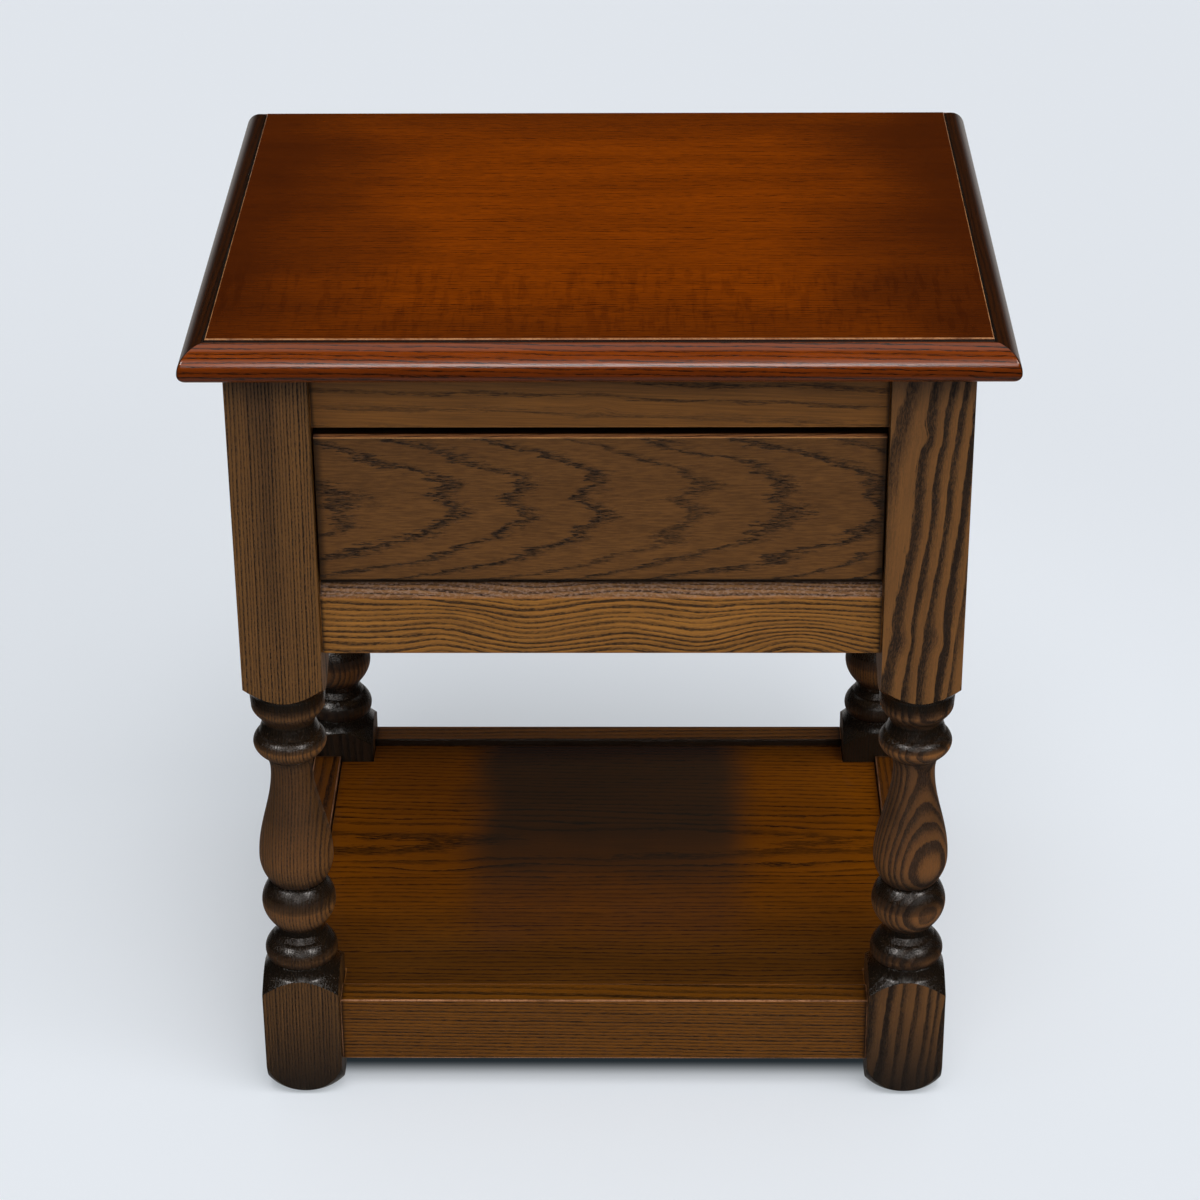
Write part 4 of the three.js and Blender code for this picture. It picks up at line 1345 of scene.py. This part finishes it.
def lay_floor(wanted):
    """The pale floor, which stands on the stage and isn't mirrored in the lacquer. It glows, a
    little more near the table, and carries a painted shadow under the lower frame.
    """
    bm = bmesh.new()
    bmesh.ops.create_circle(bm, cap_ends=True, radius=FLOOR_RADIUS, segments=64)
    mesh = bpy.data.meshes.new("floor")
    bm.to_mesh(mesh)
    bm.free()
    floor = bpy.data.objects.new("floor", mesh)
    bpy.context.scene.collection.objects.link(floor)
    material, surface, w = new_material("pale floor")
    surface.inputs["Roughness"].default_value = 1.0
    surface.inputs["Specular IOR Level"].default_value = 0.0
    place = w.put("ShaderNodeTexCoord").outputs["Object"]
    x, y, _ = w.split(place)

    # A painted shadow: nearly dark under the lower frame, fading within the frame's outline.
    side = -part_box("left_stretcher")[0].x
    front = -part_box("front_stretcher")[0].y
    overhang = w.math("SUBTRACT", w.math("ABSOLUTE", x), side - front)
    reach = w.math("MAXIMUM", w.math("ABSOLUTE", y), overhang)
    unshadowed = w.ramp(reach, *(front - inset for inset in SHADOW_INSET))
    w.feed(surface.inputs["Base Color"], w.mix(unshadowed, (0.0, 0.0, 0.0), tuple(wanted.floor)))
    away = w.vector("LENGTH", w.vector("MULTIPLY", place, (1.0, 1.0, 0.0)))
    glow = w.scale(tuple(wanted.floor_glow), w.ramp(away, *GLOW_FADE))
    w.feed(surface.inputs["Emission Color"], w.mix(unshadowed, SHADOW_COLOUR, glow))
    surface.inputs["Emission Strength"].default_value = 1.0
    mesh.materials.append(material)
    floor.visible_glossy = False


def light_room(wanted):
    """The room's light: what the camera sees, what lights the wood and what it mirrors."""
    world = bpy.data.worlds.new("studio")
    bpy.context.scene.world = world
    world.use_nodes = True
    tree = world.node_tree
    tree.nodes.clear()
    w = Wiring(tree)
    path = w.put("ShaderNodeLightPath").outputs
    towards = w.put("ShaderNodeTexCoord").outputs["Generated"]
    mirror = wanted.sheen_light
    for box in SOFT_BOXES:
        mirror = w.math("ADD", mirror, soft_box(w, towards, *box))
    mirror = w.math("MULTIPLY", mirror, wanted.reflections)

    def light(colour, strength):
        return w.put("ShaderNodeBackground", Color=colour, Strength=strength).outputs[0]

    def either(asked, no, yes):
        made = w.put("ShaderNodeMixShader")
        for socket, value in zip(made.inputs, (asked, no, yes)):
            w.feed(socket, value)
        return made.outputs[0]

    soft = light(FILL_TINT, wanted.fill)
    unseen = either(path["Is Glossy Ray"], soft, light(MIRROR_TINT, mirror))
    seen = light(tuple(wanted.backdrop), 1.0)
    end = tree.nodes.new("ShaderNodeOutputWorld")
    w.feed(end.inputs["Surface"], either(path["Is Camera Ray"], unseen, seen))
    for name, azimuth, elevation, breadth, share in SUNS:
        add_sun(name, azimuth, elevation, breadth, wanted.key * share)


def set_camera():
    """The photograph's camera."""
    scene = bpy.context.scene
    lens = bpy.data.cameras.new("camera")
    lens.lens = CAMERA_LENS_MM
    lens.sensor_width = CAMERA_SENSOR_MM
    lens.clip_end = CAMERA_CLIP_END
    camera = bpy.data.objects.new("camera", lens)
    scene.collection.objects.link(camera)
    cp, sp = math.cos(CAMERA_PITCH), math.sin(CAMERA_PITCH)
    cy, sy = math.cos(CAMERA_YAW), math.sin(CAMERA_YAW)
    ahead = Vector((sy * cp, cy * cp, -sp))
    right = Vector((cy, -sy, 0))
    up = right.cross(ahead)
    across = right * math.cos(CAMERA_ROLL) + up * math.sin(CAMERA_ROLL)
    above = up * math.cos(CAMERA_ROLL) - right * math.sin(CAMERA_ROLL)
    turn = Matrix((across, above, -ahead)).transposed()
    camera.matrix_world = Matrix.Translation(CAMERA_PLACE) @ turn.to_4x4()
    scene.camera = camera


class LAMPTABLE_OT_studio(bpy.types.Operator):
    """Set the pale floor, the soft lights and the camera"""

    bl_idname = "lamp_table.studio"
    bl_label = "Studio"

    def execute(self, context):
        lay_floor(studio())
        light_room(studio())
        set_camera()
        context.scene.view_settings.view_transform = "Standard"
        return {"FINISHED"}


class LAMPTABLE_OT_legs(bpy.types.Operator):
    """Turn the four legs and saw the flats of their blocks"""

    bl_idname = "lamp_table.legs"
    bl_label = "Legs"

    def execute(self, context):
        grains = {
            "leg_front_left": ("straight_leg", (-420.0, -140.0, 700.0), (0.4, 0.6)),
            "leg_front_right": ("bold_leg", (150.3, -63.7, 300.0), (1.0, 3.0)),
            "leg_back_left": ("bold_leg", (-130.0, 240.0, 2300.0), (1.0, -2.0)),
            "leg_back_right": ("straight_leg", (390.0, 60.0, 3900.0), (0.5, 0.8)),
        }
        tones = {
            "leg_front_left": (heart_tone, leg_tone),
            "leg_back_left": (leg_tone, far_shade_tone),
            "leg_back_right": (leg_tone, far_shade_tone),
        }
        knots = {
            "leg_front_right": (
                ((201.0, -188.0, 492.0), (8.0, 30.0, 8.0), (-3.0, 0.0, 0.0)),
                ((190.0, -188.0, 350.0), (6.0, 30.0, 9.0), (-3.0, 0.0, 0.0)),
                ((211.0, -188.0, 352.0), (6.0, 30.0, 8.0), (-2.5, 0.0, 0.0)),
            )
        }
        for node, (timber, pith, lean) in grains.items():
            own_tones = tones.get(node, (leg_tone,))
            own_knots = knots.get(node, ())
            name = node.replace("_", " ")
            build_leg(node, oak(name, timber, "z", pith, lean, own_tones, own_knots))
        return {"FINISHED"}


class LAMPTABLE_OT_top(bpy.types.Operator):
    """Make the field of the top and the mitred moulding round it"""

    bl_idname = "lamp_table.top"
    bl_label = "Top"

    def execute(self, context):
        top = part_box("top_panel")[1].z
        material = oak("top field", "field", "x", (0.0, -640.0, 130.0), (0.3, 0.4), [field_tone])

        def upper(edge):
            return all(v.co.z > top - 1 * MM for v in edge.verts)

        width = sizes().rail_arris * FIELD_ARRIS_SHARE
        eased_copy("top_panel", "oak_top_panel", material, "top_field", width, upper)
        piths = {
            "front": ("x", (600.0, -260.0, 480.0), (1.2, 0.6)),
            "back": ("x", (-900.0, 240.0, 470.0), (1.0, 0.4)),
            "left": ("y", (-300.0, 500.0, 480.0), (0.8, 0.8)),
            "right": ("y", (300.0, -700.0, 490.0), (0.9, 0.5)),
        }
        for word, (along, pith, lean) in piths.items():
            # The sides take the darker copy of the moulding's oak, which is painted shade
            timber = "moulding" if along == "x" else "shaded_side_moulding"
            material = oak(f"moulding {word}", timber, along, pith, lean, [moulding_shade_tone])
            build_moulding(word, material)
        return {"FINISHED"}


class LAMPTABLE_OT_case(bpy.types.Operator):
    """Make the rails and the panels of the case"""

    bl_idname = "lamp_table.case"
    bl_label = "Case"

    def execute(self, context):
        width = sizes().rail_arris
        rails = {
            "front_top_rail": ("rail", "x", (900.0, -210.0, 446.0), (0.2, 2.0)),
            "front_bottom_rail": ("low_rail", "x", (-300.0, -250.0, 260.0), (0.2, 1.0)),
            "back_top_rail": ("rail", "x", (2900.0, 250.0, 450.0), (0.3, 1.0)),
            "back_bottom_rail": ("low_rail", "x", (-2300.0, 260.0, 280.0), (0.2, 0.8)),
            "left_top_rail": ("rail", "y", (-290.0, 1900.0, 455.0), (1.2, 0.4)),
            "left_bottom_rail": ("low_rail", "y", (-300.0, -1300.0, 270.0), (0.7, 0.3)),
            "right_top_rail": ("rail", "y", (280.0, 3900.0, 440.0), (1.0, 0.4)),
            "right_bottom_rail": ("low_rail", "y", (300.0, -3300.0, 460.0), (0.8, 0.3)),
        }
        knots = {
            "front_top_rail": (((0.0, -180.0, 510.0), (9.0, 30.0, 6.0), (0.0, 0.0, -3.0)),),
            "front_bottom_rail": (
                ((124.0, -180.0, 338.0), (36.0, 60.0, 26.0), (0.0, 0.0, -17.0)),
                ((63.0, -180.0, 350.0), (22.0, 60.0, 26.0), (0.0, 0.0, 4.0)),
                ((15.0, -180.0, 355.0), (22.0, 60.0, 26.0), (0.0, 0.0, -3.0)),
                ((-46.0, -180.0, 355.0), (26.0, 60.0, 26.0), (0.0, 0.0, 6.0)),
                ((-101.0, -180.0, 345.0), (22.0, 60.0, 24.0), (0.0, 0.0, -5.0)),
            ),
        }
        for node, (timber, *grain) in rails.items():
            tones = [corner_shade_tone("xy".index(grain[0]))]
            tones.append(chamfer_sheen_tone if timber == "low_rail" else top_shadow_tone)
            make_board(node, "rail_oak", width, timber, grain, tones, knots.get(node, ()))
        panels = {
            "back_panel": ("x", (1700.0, 210.0, 440.0), (0.0, 3.0)),
            "left_panel": ("y", (-250.0, 800.0, 445.0), (3.0, 0.0)),
            "right_panel": ("y", (250.0, 2800.0, 440.0), (-3.0, 0.0)),
        }
        for node, grain in panels.items():
            make_board(node, "panel_oak", sizes().inner_arris, "panel", grain)
        return {"FINISHED"}


class LAMPTABLE_OT_drawer(bpy.types.Operator):
    """Make the drawer"""

    bl_idname = "lamp_table.drawer"
    bl_label = "Drawer"

    def execute(self, context):
        low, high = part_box("drawer_front")

        def outer(edge):
            return all(v.co.y < low.y + 0.1 * MM for v in edge.verts)

        def upper(face):
            return face.calc_center_median().z > high.z - 2 * MM

        # The board was cut nearly level with the rings of a trunk that tapers to the right.
        make_board(
            "drawer_front",
            "drawer_front_oak",
            sizes().rail_arris * FRONT_ARRIS_SHARE,
            "drawer",
            ("x", (0.0, -45.0, 444.0), (-4.5, 0.0)),
            tones=[front_edge_shade_tone],
            knots=(((0.0, -180.0, 446.0), (400.0, 60.0, 6.0), (11.0, 0.0, 0.0)),),
            wanted=outer,
            worn=upper,
        )
        lean = (0.6, 0.5)
        lining = {
            "drawer_side_left": ("y", (-200.0, 600.0, 380.0), lean),
            "drawer_side_right": ("y", (210.0, 1600.0, 385.0), lean),
            "drawer_back": ("x", (700.0, 150.0, 390.0), lean),
            "drawer_bottom": ("x", (1500.0, 20.0, 350.0), lean),
        }
        for node, grain in lining.items():
            make_board(node, "drawer_lining", sizes().inner_arris, "lining", grain)
        return {"FINISHED"}


class LAMPTABLE_OT_carcase(bpy.types.Operator):
    """Make the hidden wood: blocks, runners, guides, kickers, stops and cleats"""

    bl_idname = "lamp_table.carcase"
    bl_label = "Hidden wood"

    def execute(self, context):
        width = sizes().inner_arris
        lean = (0.8, 0.7)
        piths = {"left": (-120.0, 0.0, 330.0), "right": (-120.0, 900.0, 330.0)}
        for side, pith in piths.items():
            material = oak(f"carcase {side}", "carcase", "y", pith, lean)
            for strip in CARCASE_STRIPS:
                node = f"{strip}_{side}"
                eased_copy(node, f"oak_{node}", material, "carcase_wood", width)
        material = oak("top blocks", "carcase", "x", (400.0, 60.0, 470.0), lean)
        for end in ENDS:
            for side, _ in SIDES:
                node = f"top_block_{end}_{side}"
                eased_copy(node, f"oak_{node}", material, "carcase_wood", width * 2)
        return {"FINISHED"}


class LAMPTABLE_OT_lower_frame(bpy.types.Operator):
    """Make the four stretchers and the shelf"""

    bl_idname = "lamp_table.lower_frame"
    bl_label = "Lower frame"

    def execute(self, context):
        width = sizes().rail_arris
        grains = {
            "front_stretcher": ("x", (500.0, -240.0, -90.0), (0.3, 0.7)),
            "back_stretcher": ("x", (-1500.0, 250.0, -60.0), (0.3, 0.6)),
            "left_stretcher": ("y", (-260.0, 700.0, -80.0), (0.5, 0.4)),
            "right_stretcher": ("y", (270.0, -1700.0, -70.0), (0.6, 0.4)),
        }
        low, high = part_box("back_stretcher")

        def outer(face):
            return face.calc_center_median().y > (low.y + high.y) / 2

        hollows = {
            "back_stretcher": (1, -1),
            "left_stretcher": (0, 1),
            "right_stretcher": (0, -1),
        }
        for node, grain in grains.items():
            along = grain[0]
            tones = [corner_shade_tone("xy".index(along))]
            worn = None
            if node in hollows:
                tones.append(hollow_shade_tone(node, *hollows[node]))
            if node == "back_stretcher":
                worn = outer
            else:
                tones.append(inner_edge_highlight_tone("yx".index(along)))
            make_board(node, "stretcher_oak", width, "stretcher", grain, tones, worn=worn)
        eyes = (
            ((-125.0, -16.0, 68.0), (50.0, 9.0, 40.0), (0.0, 6.0, 0.0)),
            ((135.0, -12.0, 68.0), (60.0, 9.0, 40.0), (0.0, 6.0, 0.0)),
        )
        pith = (200.0, 20.0, 10.0)
        material = oak("shelf", "shelf", "x", pith, (0.6, 1.0), [shelf_shade_tone], eyes)
        eased_copy("shelf_board", "oak_shelf_board", material, "shelf_oak", width)
        return {"FINISHED"}


class LAMPTABLE_OT_screws(bpy.types.Operator):
    """Drive the fourteen slotted screws"""

    bl_idname = "lamp_table.screws"
    bl_label = "Screws"

    def execute(self, context):
        material = steel_material()
        for side, sign in SIDES:
            outward = Vector((sign, 0, 0))
            build_screw(f"kicker_screw_{side}", outward, material)
            for end in ENDS:
                build_screw(f"top_screw_{end}_{side}", Vector((0, 0, 1)), material)
                build_screw(f"runner_screw_{end}_{side}", outward, material)
                build_screw(f"cleat_screw_{end}_{side}", outward, material)
        return {"FINISHED"}


STEPS = (
    LAMPTABLE_OT_studio,
    LAMPTABLE_OT_legs,
    LAMPTABLE_OT_top,
    LAMPTABLE_OT_case,
    LAMPTABLE_OT_drawer,
    LAMPTABLE_OT_carcase,
    LAMPTABLE_OT_lower_frame,
    LAMPTABLE_OT_screws,
)


class LAMPTABLE_PT_sidebar(bpy.types.Panel):
    """Lists the steps of the table and their settings"""

    bl_idname = "LAMPTABLE_PT_sidebar"
    bl_label = "Lamp table"
    bl_space_type = "VIEW_3D"
    bl_region_type = "UI"
    bl_category = "Lamp table"

    def draw(self, context):
        for group in (sizes(), colours(), studio()):
            box = self.layout.box()
            for name in group.__annotations__:
                box.prop(group, name)
        for step in STEPS:
            self.layout.operator(step.bl_idname)


GROUPS = (LampTableSizes, LampTableColours, LampTableStudio)
CLASSES = (*GROUPS, *STEPS, LAMPTABLE_PT_sidebar)


def register():
    for cls in CLASSES:
        bpy.utils.register_class(cls)
    bpy.types.Scene.lamp_table_sizes = PointerProperty(type=LampTableSizes)
    bpy.types.Scene.lamp_table_colours = PointerProperty(type=LampTableColours)
    bpy.types.Scene.lamp_table_studio = PointerProperty(type=LampTableStudio)


def unregister():
    del bpy.types.Scene.lamp_table_studio
    del bpy.types.Scene.lamp_table_colours
    del bpy.types.Scene.lamp_table_sizes
    for cls in reversed(CLASSES):
        bpy.utils.unregister_class(cls)


def main():
    register()
    bpy.ops.lamp_table.studio()
    bpy.ops.lamp_table.legs()
    bpy.ops.lamp_table.top()
    bpy.ops.lamp_table.case()
    bpy.ops.lamp_table.drawer()
    bpy.ops.lamp_table.carcase()
    bpy.ops.lamp_table.lower_frame()
    bpy.ops.lamp_table.screws()


if __name__ == "__main__":
    main()
